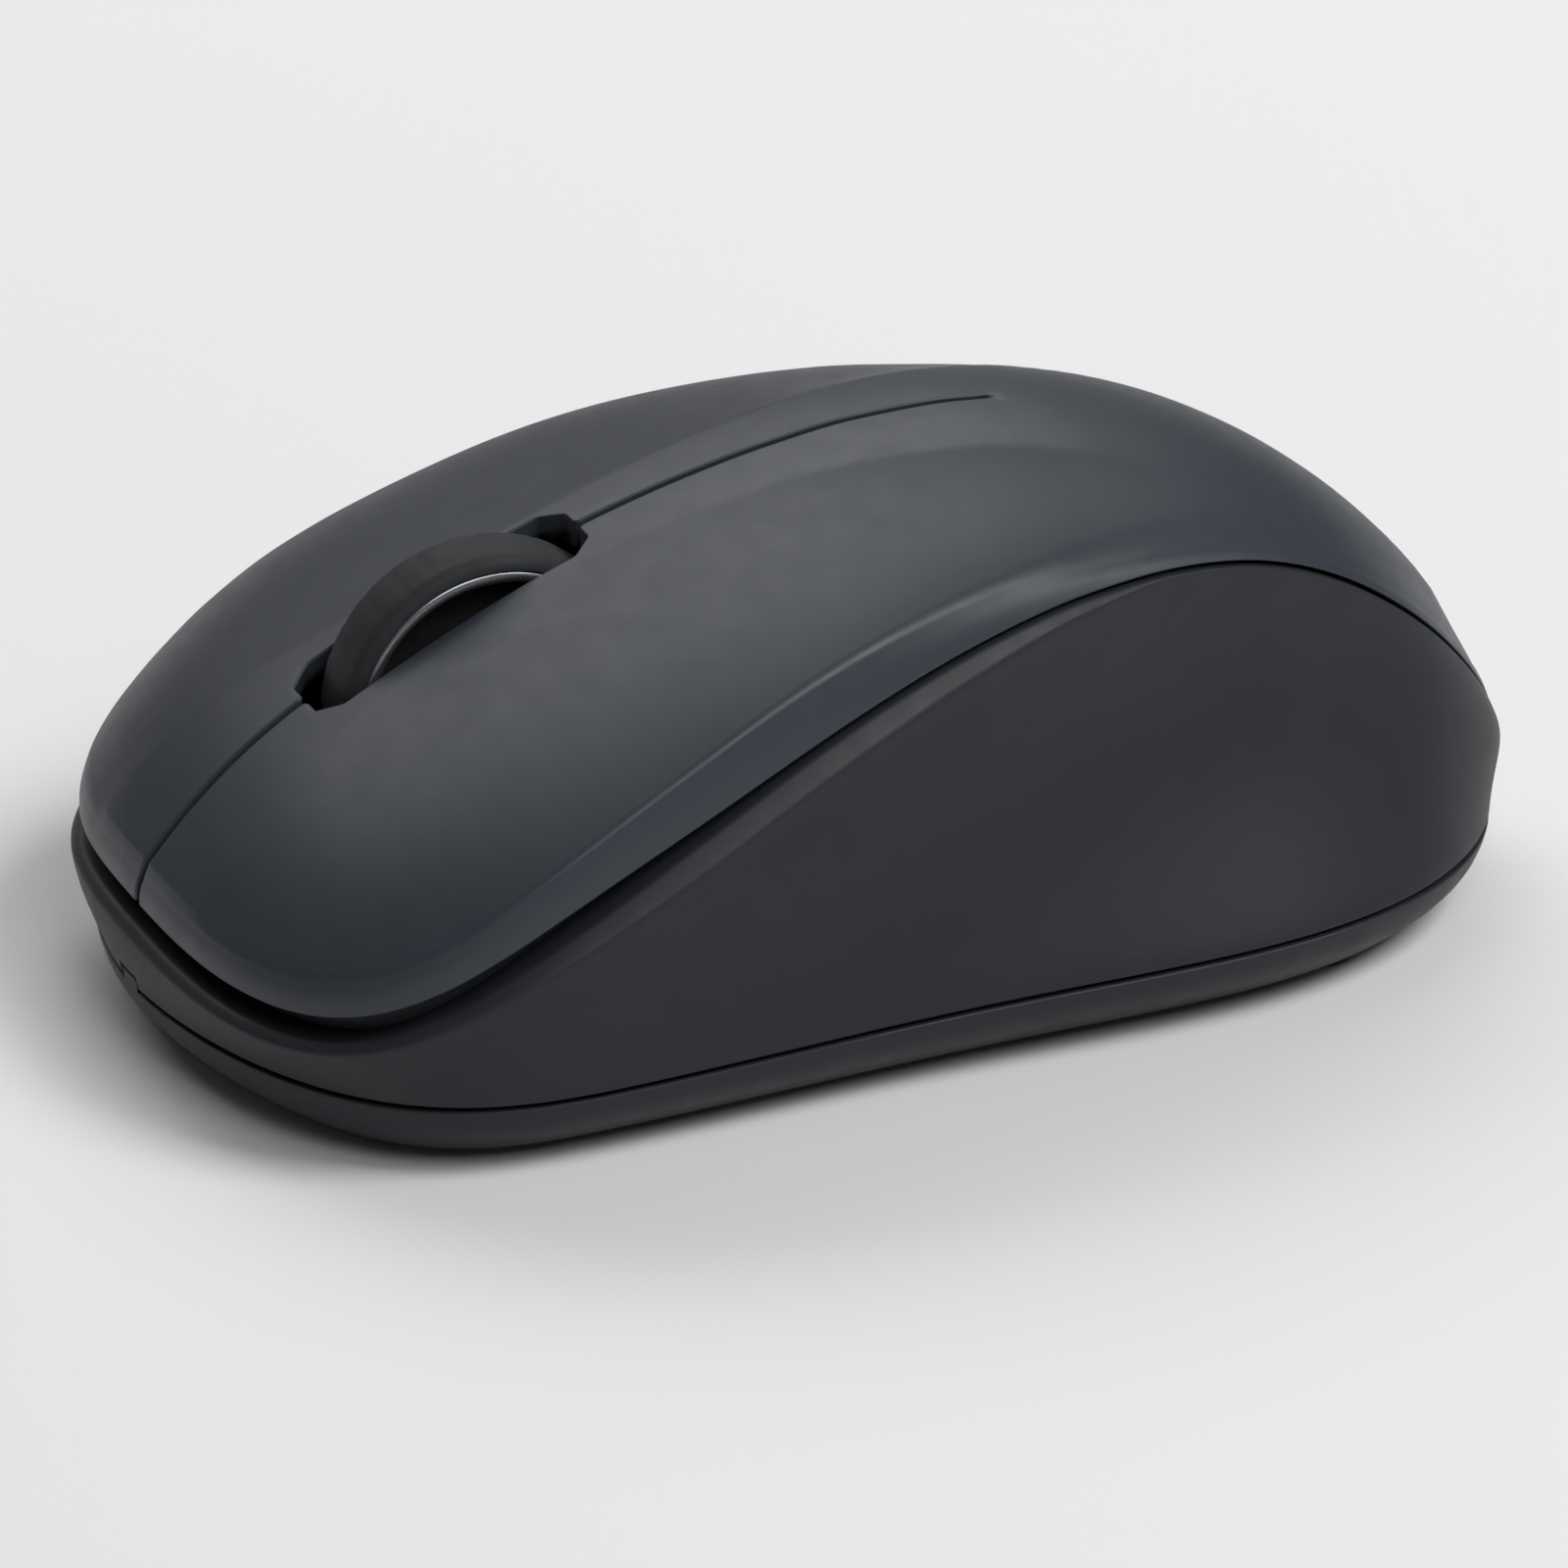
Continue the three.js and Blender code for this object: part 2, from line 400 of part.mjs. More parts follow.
// Feet.
{
  const arc = [];
  const ring0 = FLOOR_EDGE.filter((p) => p[0] <= 15.2 && p[1] < -40);
  for (const p of ring0) arc.push([p[0], p[1] + 1.6]);
  const inner = ring0.map((p) => [p[0] * 0.93, p[1] + 6.6]).reverse();
  const left = arc.slice(1).reverse().map((p) => [-p[0], p[1]]);
  const leftIn = inner.slice(0, -1).reverse().map((p) => [-p[0], p[1]]);
  const full = [...left, ...arc, ...inner, ...leftIn];
  part('front_foot', toSolid(slab(full, 0, 0.75)), '#16181a', 0.35);
  part('rear_foot_left', toSolid(slab(roundRect(14.8, 25.2, 7, 15, 3), 0, 0.75)), '#16181a', 0.35);
  part('rear_foot_right', toSolid(slab(roundRect(-14.8, 25.2, 7, 15, 3), 0, 0.75)), '#16181a', 0.35);
}

// Screws: head, shank.
const screw = (x, y, z0, headR, headH, shankR, z1) => join(
  toSolid(rodZ(x, y, z0, z0 + headH, headR, 20)),
  toSolid(rodZ(x, y, z0 + headH - 0.1, z1, shankR, 12)));
CASE_SCREWS.forEach(([x, y], k) => part(`case_screw_${['left', 'right', 'front'][k]}`, cut(screw(x, y, 1.3, 2.0, 1.3, 0.85, 10.5),
  toSolid(box(x - 1.2, x + 1.2, y - 0.22, y + 0.22, 0, 1.9)), toSolid(box(x - 0.22, x + 0.22, y - 1.2, y + 1.2, 0, 1.9))), '#8d9094', 0.35, 1));

// ---------------------------------------------------------------- board
{
  const wing = [[-20.6, -13], [-12, -13], [9.9, -13], [9.9, 6], [20.2, 6], [20.6, -13], [21.2, -34], [17.2, -40.2], [3.4, -40.2], [3.4, -39.6], [-3.4, -39.6], [-3.4, -40.2], [-17.2, -40.2], [-21.2, -34]];
  let pcb = toSolid(slab(wing, BOARD.z0, BOARD.z1));
  pcb = cut(pcb, ...BOARD_SCREWS.map(([x, y]) => toSolid(rodZ(x, y, 5, 11, 1.1, 14))),
    toSolid(slab(roundRect(0, SENSOR_Y, 5, 5, 1.2), 5, 11)));
  part('main_board', pcb, '#1f5a3c', 0.5);
  BOARD_SCREWS.forEach(([x, y], k) => {
    const head = toSolid(rodZ(x, y, BOARD.z1 + 0.2, BOARD.z1 + 1.3, 1.8, 20));
    const shank = toSolid(rodZ(x, y, 3.9, BOARD.z1 + 0.3, 0.75, 12));
    part(`board_screw_${['left', 'right'][k]}`, cut(join(head, shank), toSolid(box(x - 1.1, x + 1.1, y - 0.2, y + 0.2, BOARD.z1 + 0.8, 20)), toSolid(box(x - 0.2, x + 0.2, y - 1.1, y + 1.1, BOARD.z1 + 0.8, 20))), '#8d9094', 0.35, 1);
  });
}

// Click switches under the keys.
for (const [side, word] of [[1, 'left'], [-1, 'right']]) {
  const x = side * SWITCH.x, z0 = BOARD.z1 + 0.3, z1 = z0 + SWITCH.h;
  const body = cut(toSolid(box(x - SWITCH.w / 2, x + SWITCH.w / 2, SWITCH.y - SWITCH.l / 2, SWITCH.y + SWITCH.l / 2, z0, z1)),
    toSolid(box(x - 1.75, x + 1.75, SWITCH.plungerY - 1.2, SWITCH.plungerY + 1.2, z1 - 1.9, z1 + 1)),
    toSolid(rodX(x - 5, x + 5, SWITCH.y + 4.4, z0 + 1.7, 0.95, 12)));
  const pins = [-4.8, 0, 4.8].map((d) => toSolid(box(x - 0.4, x + 0.4, SWITCH.y + d - 0.2, SWITCH.y + d + 0.2, z0 - 0.25, z0 + 0.2)));
  part(`${word}_switch`, join(body, ...pins), '#1b1c1e', 0.4);
  part(`${word}_switch_plunger`, toSolid(box(x - 1.45, x + 1.45, SWITCH.plungerY - 0.9, SWITCH.plungerY + 0.9, z1 - 0.9, z1 + 0.9)), '#c9c4b4', 0.45);
}

// ---------------------------------------------------------------- wheel
{
  const { y, z, r, half, hub } = WHEEL;
  // rubber tyre with a crowned tread
  const tyreProfile = [[-half, hub + 0.3], [-half, r - 0.8], [-half + 0.6, r - 0.12], [0, r], [half - 0.6, r - 0.12], [half, r - 0.8], [half, hub + 0.3], [-half, hub + 0.3]];
  const tyre = toSolid(turnX(tyreProfile, y, z, 48));
  part('wheel_tyre', tyre, '#3d4145', 0.75);
  const rim = half - 0.1;
  const prof = [[-rim, 0], [-rim, 2.8], [-1.0, 3.2], [-1.0, hub - 1.8], [-rim, hub - 1.4], [-rim, hub - 0.25], [-rim + 0.25, hub], [rim - 0.25, hub], [rim, hub - 0.25], [rim, hub - 1.4], [1.0, hub - 1.8], [1.0, 3.2], [rim, 2.8], [rim, 0]];
  let hubSolid = toSolid(turnX(prof, y, z, 36));
  hubSolid = join(hubSolid, toSolid(rodX(rim - 0.3, 11.0, y, z, 1.2, 16)), toSolid(rodX(-10.4, -rim + 0.3, y, z, 1.2, 6)));
  part('wheel_hub', hubSolid, '#2b2e31', 0.3);
}
// Encoder: box with a round window, and the sleeve that turns in it on the hub's six-sided stub.
{
  const { y, z } = WHEEL, x0 = -10.6, x1 = -5.7;
  const body = cut(join(toSolid(box(x0, x1, y - 4.4, y + 4.4, BOARD.z1 + 0.3, z - 1.6)), toSolid(rodX(x0, x1, y, z, 3.5, 28))), toSolid(rodX(x0 - 1, x1 + 1, y, z, 2.75, 24)));
  const pins = [-2.5, 0, 2.5].map((d) => toSolid(box(x0 + 2.2, x0 + 2.8, y + d - 0.2, y + d + 0.2, BOARD.z1 + 0.05, BOARD.z1 + 0.5)));
  part('encoder_body', join(body, ...pins), '#25282b', 0.4);
  part('encoder_rotor', cut(toSolid(rodX(x0 + 0.3, x1 - 0.3, y, z, 2.4, 24)), toSolid(rodX(x0 - 1, x1 + 1, y, z, 1.55, 6))), '#d8d4c8', 0.4);
}
// Guide fork for the wheel's free stub, click saddle and its switch.
{
  const { y, z } = WHEEL;
  const fork = cut(toSolid(box(4.6, 6.0, y - 4.2, y + 4.2, BOARD.z1 + 0.3, z + 2.6)), toSolid(box(4, 7, y - 1.5, y + 1.5, z - 1.9, z + 6)));
  part('axle_guide', fork, '#2b2e31', 0.5);
  const saddle = cut(join(toSolid(box(8.2, 10.8, y - 2.3, y + 2.3, z - 2.6, z + 2.3)), toSolid(box(8.5, 10.5, y - 1.0, y + 1.0, z - 4.2, z - 2.4))), toSolid(rodX(7, 12, y, z, 1.5, 20)));
  part('click_saddle', saddle, '#cfcbbf', 0.45);
  const zs = z - 4.5;  // top of the middle plunger
  const body = cut(toSolid(box(6.8, 12.2, y - 2.7, y + 2.7, BOARD.z1 + 0.3, zs - 0.9)), toSolid(rodZ(9.5, y, zs - 2.6, zs, 1.6, 20)));
  part('middle_switch', body, '#1b1c1e', 0.4);
  part('middle_switch_plunger', toSolid(rodZ(9.5, y, zs - 1.9, zs, 1.3, 20)), '#7a3b2c', 0.45);
}

// ---------------------------------------------------------------- electronics
part('sensor_chip', join(toSolid(box(-4.6, 4.6, SENSOR_Y - 5.0, SENSOR_Y + 2.9, BOARD.z1 + 0.3, BOARD.z1 + 1.9)),
  ...[-4, -2, 0, 2].flatMap((d) => [toSolid(box(-5.4, -4.5, SENSOR_Y + d - 0.25, SENSOR_Y + d + 0.25, BOARD.z1 + 0.1, BOARD.z1 + 0.8)), toSolid(box(4.5, 5.4, SENSOR_Y + d - 0.25, SENSOR_Y + d + 0.25, BOARD.z1 + 0.1, BOARD.z1 + 0.8))])), '#141517', 0.35);
part('sensor_lens', join(toSolid(slab(roundRect(0, SENSOR_Y, 9.0, 7.0, 1), 4.4, 5.6)), toSolid(slab(roundRect(0, SENSOR_Y, 9.0, 7.0, 1), 5.5, 6.7)), toSolid(rodZ(0, SENSOR_Y + 0.8, 2.7, 4.5, 2.0, 20, 2.4))), '#cfd8de', 0.1);
part('radio_chip', join(toSolid(box(11.4, 17.4, -10.6, -4.6, BOARD.z1 + 0.3, BOARD.z1 + 1.4)), toSolid(box(11.1, 17.7, -10.2, -5.0, BOARD.z1 + 0.05, BOARD.z1 + 0.35))), '#141517', 0.35);
part('crystal', toSolid(slab(roundRect(14.6, -0.6, 9.6, 3.8, 1.85, 5), BOARD.z1 + 0.05, BOARD.z1 + 3.4)), '#b9bcc0', 0.25, 1);
part('capacitor', join(toSolid(rodZ(-14.5, -25.5, BOARD.z1 + 0.05, BOARD.z1 + 6.2, 2.5, 20)), toSolid(rodZ(-14.5, -25.5, BOARD.z1 + 6.1, BOARD.z1 + 6.5, 2.2, 20))), '#1d2733', 0.35);

// Power switch under the board, with the slider that shows through the base.
{
  const { x, y } = POWER;
  const body = cut(toSolid(box(x - 1.9, x + 1.9, y - 4.3, y + 4.3, 3.5, BOARD.z0 - 0.05)), toSolid(box(x - 1.1, x + 1.1, y - 3.4, y + 3.4, 3, 5)));
  part('power_switch', body, '#b9bcc0', 0.3, 1);
  const y0 = y - 1.25;
  const ridges = [-1.2, 0, 1.2].map((d) => toSolid(box(x - 2.4, x + 2.4, y0 + d - 0.2, y0 + d + 0.2, 0, 1.15)));
  part('power_slider', cut(join(toSolid(box(x - 1.95, x + 1.95, y0 - 2.5, y0 + 2.5, 0.95, 2.1)), toSolid(box(x - 0.75, x + 0.75, y0 - 1.1, y0 + 1.1, 2.0, 4.6))), ...ridges), '#8a8f94', 0.5);
}

// ---------------------------------------------------------------- battery and contacts
{
  const { r, y0, y1, z } = CELL;
  part('battery_cell', toSolid(turnX([[0, 0], [0, 2.6], [1.2, 2.6], [1.2, r - 0.4], [1.6, r], [y1 - y0 - 0.5, r], [y1 - y0, r - 0.5], [y1 - y0, 0]], 0, 0, 36).rotateZ(-Math.PI / 2).translate(0, y1, z)), '#2e3338', 0.35, 0.2);
  part('positive_contact', cut(toSolid(box(-3.4, 3.4, 42.8, 43.15, 4.2, 12.6)), toSolid(box(-1.2, 1.2, 42, 44, 6.0, 6.9))), '#c8cacc', 0.25, 1);
  // coil spring at the flat end of the cell
  const turns = 3, pts = [];
  for (let i = 0; i <= 54; i++) {
    const t = i / 54, a = t * turns * Math.PI * 2;
    const rr = 4.2 - 1.6 * t;
    pts.push(new THREE.Vector3(rr * Math.cos(a), -10.75 + 2.1 * t, z + rr * Math.sin(a)));
  }
  const wire = new THREE.Shape();
  for (let k = 0; k < 5; k++) { const a = (k / 5) * Math.PI * 2; const p = [0.3 * Math.cos(a), 0.3 * Math.sin(a)]; if (k) wire.lineTo(...p); else wire.moveTo(...p); }
  wire.closePath();
  part('negative_spring', toSolid(new THREE.ExtrudeGeometry(wire, { steps: 36, extrudePath: new THREE.CatmullRomCurve3(pts), bevelEnabled: false })), '#c8cacc', 0.25, 1);
  part('negative_contact', toSolid(box(-4.6, 4.6, -11.55, -11.25, 4.2, 15.0)), '#c8cacc', 0.25, 1);
  const lead = new THREE.CatmullRomCurve3([[3.9, 43.2, 8.2], [6.4, 43.15, 8.8], [8.4, 41.2, 9.35], [8.9, 37, 9.4], [8.9, 20, 9.4], [9.2, 8.5, 9.5], [10.4, 5.0, 9.6], [12.0, 4.4, 9.4]].map((p) => new THREE.Vector3(...p)));
  const sec = new THREE.Shape();
  for (let k = 0; k < 6; k++) { const a = (k / 6) * Math.PI * 2; const p = [0.45 * Math.cos(a), 0.45 * Math.sin(a)]; if (k) sec.lineTo(...p); else sec.moveTo(...p); }
  sec.closePath();
  part('battery_lead', toSolid(new THREE.ExtrudeGeometry(sec, { steps: 26, extrudePath: lead, bevelEnabled: false })), '#7d1f1c', 0.5);
}

// ---------------------------------------------------------------- stored receiver
{
  const { x, y } = RECEIVER;
  const bodySolid = join(toSolid(slab(roundRect(x, y, 5.8, 14.4, 1.2), 0.95, 7.0)), toSolid(box(x - 1.5, x + 0.1, y - 5.2, y + 5.2, 6.8, 18.2)));
  const grip = toSolid(box(x - 4, x + 4, y - 3.2, y + 3.2, 0, 1.35));
  part('receiver_cap', cut(bodySolid, grip), '#1c1e20', 0.45);
  const shell = cut(toSolid(box(x - 2.25, x + 2.25, y - 6, y + 6, 7.3, 18.6)), toSolid(box(x - 1.9, x + 1.9, y - 5.6, y + 5.6, 7, 19)),
    toSolid(box(x + 1, x + 4, y - 3.6, y - 1.2, 11.6, 13.6)), toSolid(box(x + 1, x + 4, y + 1.2, y + 3.6, 11.6, 13.6)));
  part('receiver_plug', shell, '#c4c7ca', 0.25, 1);
}

export default group;
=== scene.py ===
"""Compact wireless mouse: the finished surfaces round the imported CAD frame.

All shapes below are written in millimetres in the row frame (+Z up, nose to -Y,
thumb side +X) and turned into metres when a mesh is made.
"""
import json
import math

import bmesh
import bpy
import numpy as np
from mathutils import Matrix, Vector
from mathutils.geometry import delaunay_2d_cdt


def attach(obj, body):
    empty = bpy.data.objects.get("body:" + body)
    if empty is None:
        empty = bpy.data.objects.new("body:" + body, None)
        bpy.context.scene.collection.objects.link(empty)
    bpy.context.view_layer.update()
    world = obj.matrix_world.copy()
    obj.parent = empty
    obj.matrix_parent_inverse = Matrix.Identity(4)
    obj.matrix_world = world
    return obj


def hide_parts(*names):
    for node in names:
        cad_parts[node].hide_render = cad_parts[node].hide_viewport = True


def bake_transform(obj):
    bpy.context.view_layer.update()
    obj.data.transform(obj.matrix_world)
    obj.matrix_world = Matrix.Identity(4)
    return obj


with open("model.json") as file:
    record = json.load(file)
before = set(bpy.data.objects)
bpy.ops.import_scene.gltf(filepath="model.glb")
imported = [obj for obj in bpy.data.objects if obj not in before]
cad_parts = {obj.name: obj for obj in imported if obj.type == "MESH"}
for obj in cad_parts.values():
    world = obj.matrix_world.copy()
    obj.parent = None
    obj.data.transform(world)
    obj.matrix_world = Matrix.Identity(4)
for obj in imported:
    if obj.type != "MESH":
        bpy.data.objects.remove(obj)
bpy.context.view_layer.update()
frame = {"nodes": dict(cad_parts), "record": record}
MM = 0.001

# ------------------------------------------------------------------ dimensions
FLOOR_Z, FLOOR_T, WALL_T, COVER_T, SEAM = 0.8, 1.5, 1.8, 1.6, 0.3
FLEX_Y, SLIT_W = 12.24, 0.7
SLOT_Y0, SLOT_Y1, SLOT_HALF, SLOT_CUT = -37.7, -18.1, 3.66, 1.5
WHEEL_Y, WHEEL_Z, TYRE_R, TYRE_HALF, HUB_R = -24.8, 21.8, 11.2, 2.7, 9.7
TAB_HALF, TAB_TOP = 1.3, 5.8
BOARD_Z0, BOARD_Z1 = 7.0, 8.6
CELL_R, CELL_Y0, CELL_Y1, CELL_Z = 7.25, -8.0, 42.5, 10.05
DOOR_HALF, DOOR_Y0, HINGE_Y, HINGE_Z = 8.0, -10.2, 39.45, 1.55
RECEIVER = (-13.8, 8.3)
POWER = (15.0, -6.0)
SENSOR_Y = -16.2
CASE_SCREWS = [(15.5, 25.0), (-15.5, 25.0), (0.0, -43.4)]
BOARD_SCREWS = [(18.2, -17.5), (-18.2, -17.5)]
Y_SHIFT = 0.72
CAM_AZ, CAM_EL, CAM_ROLL, CAM_D, CAM_F, CAM_TX, CAM_TY = 68.0, 23.27, -0.22, 930.4, 13925.28, 2.83, 5.28
WORLD = 0.07
LIGHTS = [
    # name, place, target, width, height, watts
    ("near_rear", (0.52, 0.57, 0.94), (0, 0, 0.02), 0.55, 0.55, 8.0),
    ("far_side", (-0.62, 0.12, 1.02), (0, 0, 0.02), 0.6, 0.6, 1.1),
    ("far_floor", (-1.0, 0.1, 0.8), (-1.0, 0.101, 0.0), 1.0, 1.4, 9.0),
    ("near_side", (0.85, 0.0, 0.86), (0, 0, 0.02), 0.6, 0.5, 3.0),
]

RIM_TOP = [[0,-50,10.76],[4.04,-49.97,10.76],[8.07,-49.79,10.73],[12.08,-49.32,10.66],[16.01,-48.43,10.6],
  [19.78,-46.98,10.65],[23.2,-44.84,11.04],[26.04,-41.98,12.03],[28.07,-38.49,13.74],[29.18,-34.61,15.96],
  [29.5,-30.59,18.2],[29.25,-26.56,20.15],[28.71,-22.56,21.87],[28.02,-18.58,23.5],[27.2,-14.63,25.07],
  [26.29,-10.7,26.55],[25.32,-6.78,27.89],[24.31,-2.87,29.06],[23.28,1.03,30.04],[22.24,4.93,30.8],
  [21.2,8.83,31.34],[20.12,12.72,31.53],[19.09,16.62,31.53],[18.1,20.53,31.16],[17.22,24.47,30.39],
  [16.35,28.41,29.03],[15.35,32.32,27.02],[14.11,36.16,24.37],[12.4,39.81,21.2],[10.09,43.11,17.67],
  [7.22,45.94,14.19],[3.83,48.12,11.29],[0,49.3,10.35]]
CREASE = [[0,-49.5,13],[4.02,-49.47,13],[8.03,-49.29,12.98],[11.99,-48.83,12.95],[15.87,-47.97,12.95],
  [19.56,-46.55,13.1],[22.91,-44.48,13.62],[25.68,-41.7,14.79],[27.65,-38.31,16.7],[28.74,-34.53,19.12],
  [29.01,-30.58,21.57],[28.67,-26.61,23.73],[28.01,-22.66,25.64],[27.19,-18.74,27.39],[26.26,-14.83,29.01],
  [25.24,-10.95,30.37],[24.15,-7.08,31.45],[23.01,-3.21,32.27],[21.86,0.65,32.88],[20.7,4.52,33.31],
  [19.53,8.37,33.52],[18.34,12.23,33.41],[17.21,16.13,33.21],[16.14,20.07,32.69],[15.21,24.03,31.84],
  [14.36,27.94,30.53],[13.4,31.76,28.64],[12.25,35.43,26.18],[10.71,38.83,23.31],[8.67,41.91,20.21],
  [6.12,44.56,17.13],[3.13,46.61,14.65],[0,47.7,13.95]]
PARTING = [[0,-50.56,5.04],[4.12,-50.31,5.04],[8.2,-49.69,5.05],[12.21,-48.74,5.06],[16.12,-47.43,5.07],
  [19.86,-45.69,5.08],[23.3,-43.42,5.1],[26.22,-40.51,5.13],[28.3,-36.96,5.16],[29.38,-32.99,5.19],
  [29.62,-28.87,5.22],[29.41,-24.75,5.26],[29.04,-20.64,5.29],[28.62,-16.54,5.33],[28.17,-12.43,5.36],
  [27.72,-8.33,5.4],[27.32,-4.22,5.43],[27,-0.11,5.47],[26.76,4.01,5.5],[26.59,8.13,5.54],[26.43,12.26,5.57],
  [26.22,16.38,5.61],[25.85,20.49,5.64],[25.21,24.57,5.68],[24.19,28.56,5.71],[22.71,32.41,5.74],
  [20.73,36.03,5.77],[18.22,39.3,5.8],[15.23,42.14,5.83],[11.82,44.46,5.84],[8.08,46.19,5.86],
  [4.1,47.27,5.87],[0,47.65,5.87]]
FLOOR_EDGE = [[0,-47.09,0.8],[3.77,-46.91,0.8],[7.5,-46.44,0.8],[11.2,-45.68,0.8],[14.81,-44.59,0.8],[18.27,-43.1,0.8],
  [21.43,-41.07,0.8],[24.01,-38.34,0.8],[25.59,-34.93,0.8],[26.11,-31.21,0.8],[26,-27.44,0.8],
  [25.71,-23.68,0.8],[25.36,-19.93,0.8],[24.96,-16.18,0.8],[24.54,-12.43,0.8],[24.11,-8.68,0.8],
  [23.7,-4.93,0.8],[23.35,-1.18,0.8],[23.06,2.58,0.8],[22.82,6.34,0.8],[22.62,10.11,0.8],[22.39,13.87,0.8],
  [22.08,17.63,0.8],[21.6,21.36,0.8],[20.86,25.06,0.8],[19.77,28.67,0.8],[18.26,32.12,0.8],[16.27,35.32,0.8],
  [13.77,38.13,0.8],[10.79,40.43,0.8],[7.4,42.08,0.8],[3.76,43.02,0.8],[0,43.29,0.8]]
SPINE = [[-49.5,13.32],[-48.5,14.56],[-46,17.32],[-42,20.84],[-38,23.57],[-34,25.86],[-28,28.99],[-22,31.73],
  [-16,33.95],[-10,35.7],[-4,37.04],[2,37.93],[8,38.19],[14,37.7],[20,36.45],[26,34.43],[32,31.4],[37,27.79],
  [41,23.91],[44,20.23],[46.3,16.4],[47.7,14.1]]
KY_GAP = [-50, -40, -30, -20, -10, 0, 12, 50]
GAP = [1.65, 1.65, 1.7, 1.15, 0.62, 0.42, 0.32, 0.32]
KY_SHOULDER = [-50, -40, -30, -20, -10, 0, 10, 18, 50]
SHOULDER = [0.8, 1.0, 1.6, 2.0, 2.0, 1.7, 1.0, 0.3, 0.15]
KY_SCOOP = [-50, -40, -30, -20, -10, 0, 10, 20, 30, 40, 46, 50]
SCOOP = [-0.3, 0.0, 0.6, 1.3, 1.9, 2.3, 2.6, 2.6, 1.9, -0.3, -0.95, -0.6]
KY_POWER = [-50, -35, -15, 15, 50]
POWER_N = [3.3, 2.7, 2.2, 2.2, 2.05]
KY_DISH = [-50, -42, -36, -15, 2, 16, 28, 50]
DISH = [0.25, 0.4, 0.65, 0.95, 0.95, 0.45, 0, 0]
KY_RIDGE = [-50, -42, -36, -30, -22, -15, -5, 8, 20, 50]
RIDGE = [10, 8.5, 6.6, 5.2, 4.4, 4.7, 5.6, 7.2, 9, 9]


# ------------------------------------------------------------------ rails and surfaces
def table(xs, ys, x):
    """Monotone cubic through the knots, the same curve that shapes the solids."""
    xs, ys, x = np.asarray(xs, float), np.asarray(ys, float), np.asarray(x, float)
    xc = np.clip(x, xs[0], xs[-1])
    i = np.clip(np.searchsorted(xs, xc, side="left") - 1, 0, len(xs) - 2)
    d = np.diff(ys) / np.diff(xs)
    m = np.zeros(len(xs))
    m[0], m[-1] = d[0], d[-1]
    a, b = d[:-1], d[1:]
    ok = a * b > 0
    m[1:-1][ok] = 2 * a[ok] * b[ok] / (a[ok] + b[ok])
    h = xs[i + 1] - xs[i]
    t = (xc - xs[i]) / h
    t2, t3 = t * t, t * t * t
    return (
        (2 * t3 - 3 * t2 + 1) * ys[i]
        + (t3 - 2 * t2 + t) * h * m[i]
        + (-2 * t3 + 3 * t2) * ys[i + 1]
        + (t3 - t2) * h * m[i + 1]
    )


COLS = 193


def fine(rail, m=COLS):
    """A half rail, nose to tail, sampled smoothly. It is symmetric about x = 0."""
    p = np.array(rail, float)
    n = len(p) - 1
    first, last = p[1] * [-1, 1, 1], p[n - 1] * [-1, 1, 1]
    e = np.vstack([first, p, last])
    u = np.linspace(0, n, m)
    k = np.clip(np.floor(u).astype(int), 0, n - 1)
    t = (u - k)[:, None]
    a, b, c, d = e[k], e[k + 1], e[k + 2], e[k + 3]
    q = 0.5 * (2 * b + (c - a) * t + (2 * a - 5 * b + 4 * c - d) * t * t + (3 * b - a - 3 * c + d) * t**3)
    q[0, 0] = q[-1, 0] = 0
    return q


def plan_normals(p):
    e = np.vstack([p[1] * [-1, 1, 1], p, p[-2] * [-1, 1, 1]])
    d = e[2:] - e[:-2]
    n = np.stack([d[:, 1], -d[:, 0]], 1)
    return n / np.linalg.norm(n, axis=1)[:, None]


def flat3(n):
    return np.concatenate([n, np.zeros((len(n), 1))], 1)


_cy = np.array(CREASE)[:, 1]
_cx = np.array(CREASE)[:, 0]
_cz = np.array(CREASE)[:, 2]
_sy, _sz = np.array(SPINE)[:, 0], np.array(SPINE)[:, 1]


def top_z(x, y):
    """Height of the cover's outer surface."""
    x, y = np.abs(np.asarray(x, float)), np.asarray(y, float)
    yy = np.clip(y, _cy[0], _cy[-1])
    xe = np.maximum(table(_cy, _cx, yy), 0.01)
    ze = table(_cy, _cz, yy)
    zc = table(_sy, _sz, yy)
    n = table(KY_POWER, POWER_N, yy)
    ax = np.minimum(x, xe)
    z = ze + (zc - ze) * (1 - (ax / xe) ** n)
    rw = table(KY_RIDGE, RIDGE, yy)
    wide = np.maximum(xe - rw, 0.5)
    v = (ax - rw) / wide
    eps = 0.15 / wide
    v = np.clip(0.5 * (v + np.sqrt(v * v + eps * eps)), 0, 1)
    v0 = np.clip(0.5 * (-rw / wide + np.sqrt((rw / wide) ** 2 + eps * eps)), 0, 1)
    dish = lambda w: w * (1 - w) ** 1.5
    z = z - np.where(xe > rw + 0.5, table(KY_DISH, DISH, yy) * 3.15 * (dish(v) - dish(v0)), 0)
    return z


# ------------------------------------------------------------------ mesh helpers
def link(o):
    bpy.context.scene.collection.objects.link(o)
    return o


def make(name, verts, faces, normals=None, angle=35.0):
    """A mesh object from points in mm. With normals it is smooth all over, otherwise edges over the angle are sharp."""
    me = bpy.data.meshes.new(name)
    me.from_pydata([(float(v[0]) * MM, (float(v[1]) + Y_SHIFT) * MM, float(v[2]) * MM) for v in verts], [], [tuple(int(i) for i in f) for f in faces])
    me.update()
    me.shade_smooth()
    if normals is not None:
        me.normals_split_custom_set_from_vertices([tuple(map(float, n)) for n in normals])
    elif angle is not None:
        me.set_sharp_from_angle(angle=math.radians(angle))
    return link(bpy.data.objects.new(name, me))


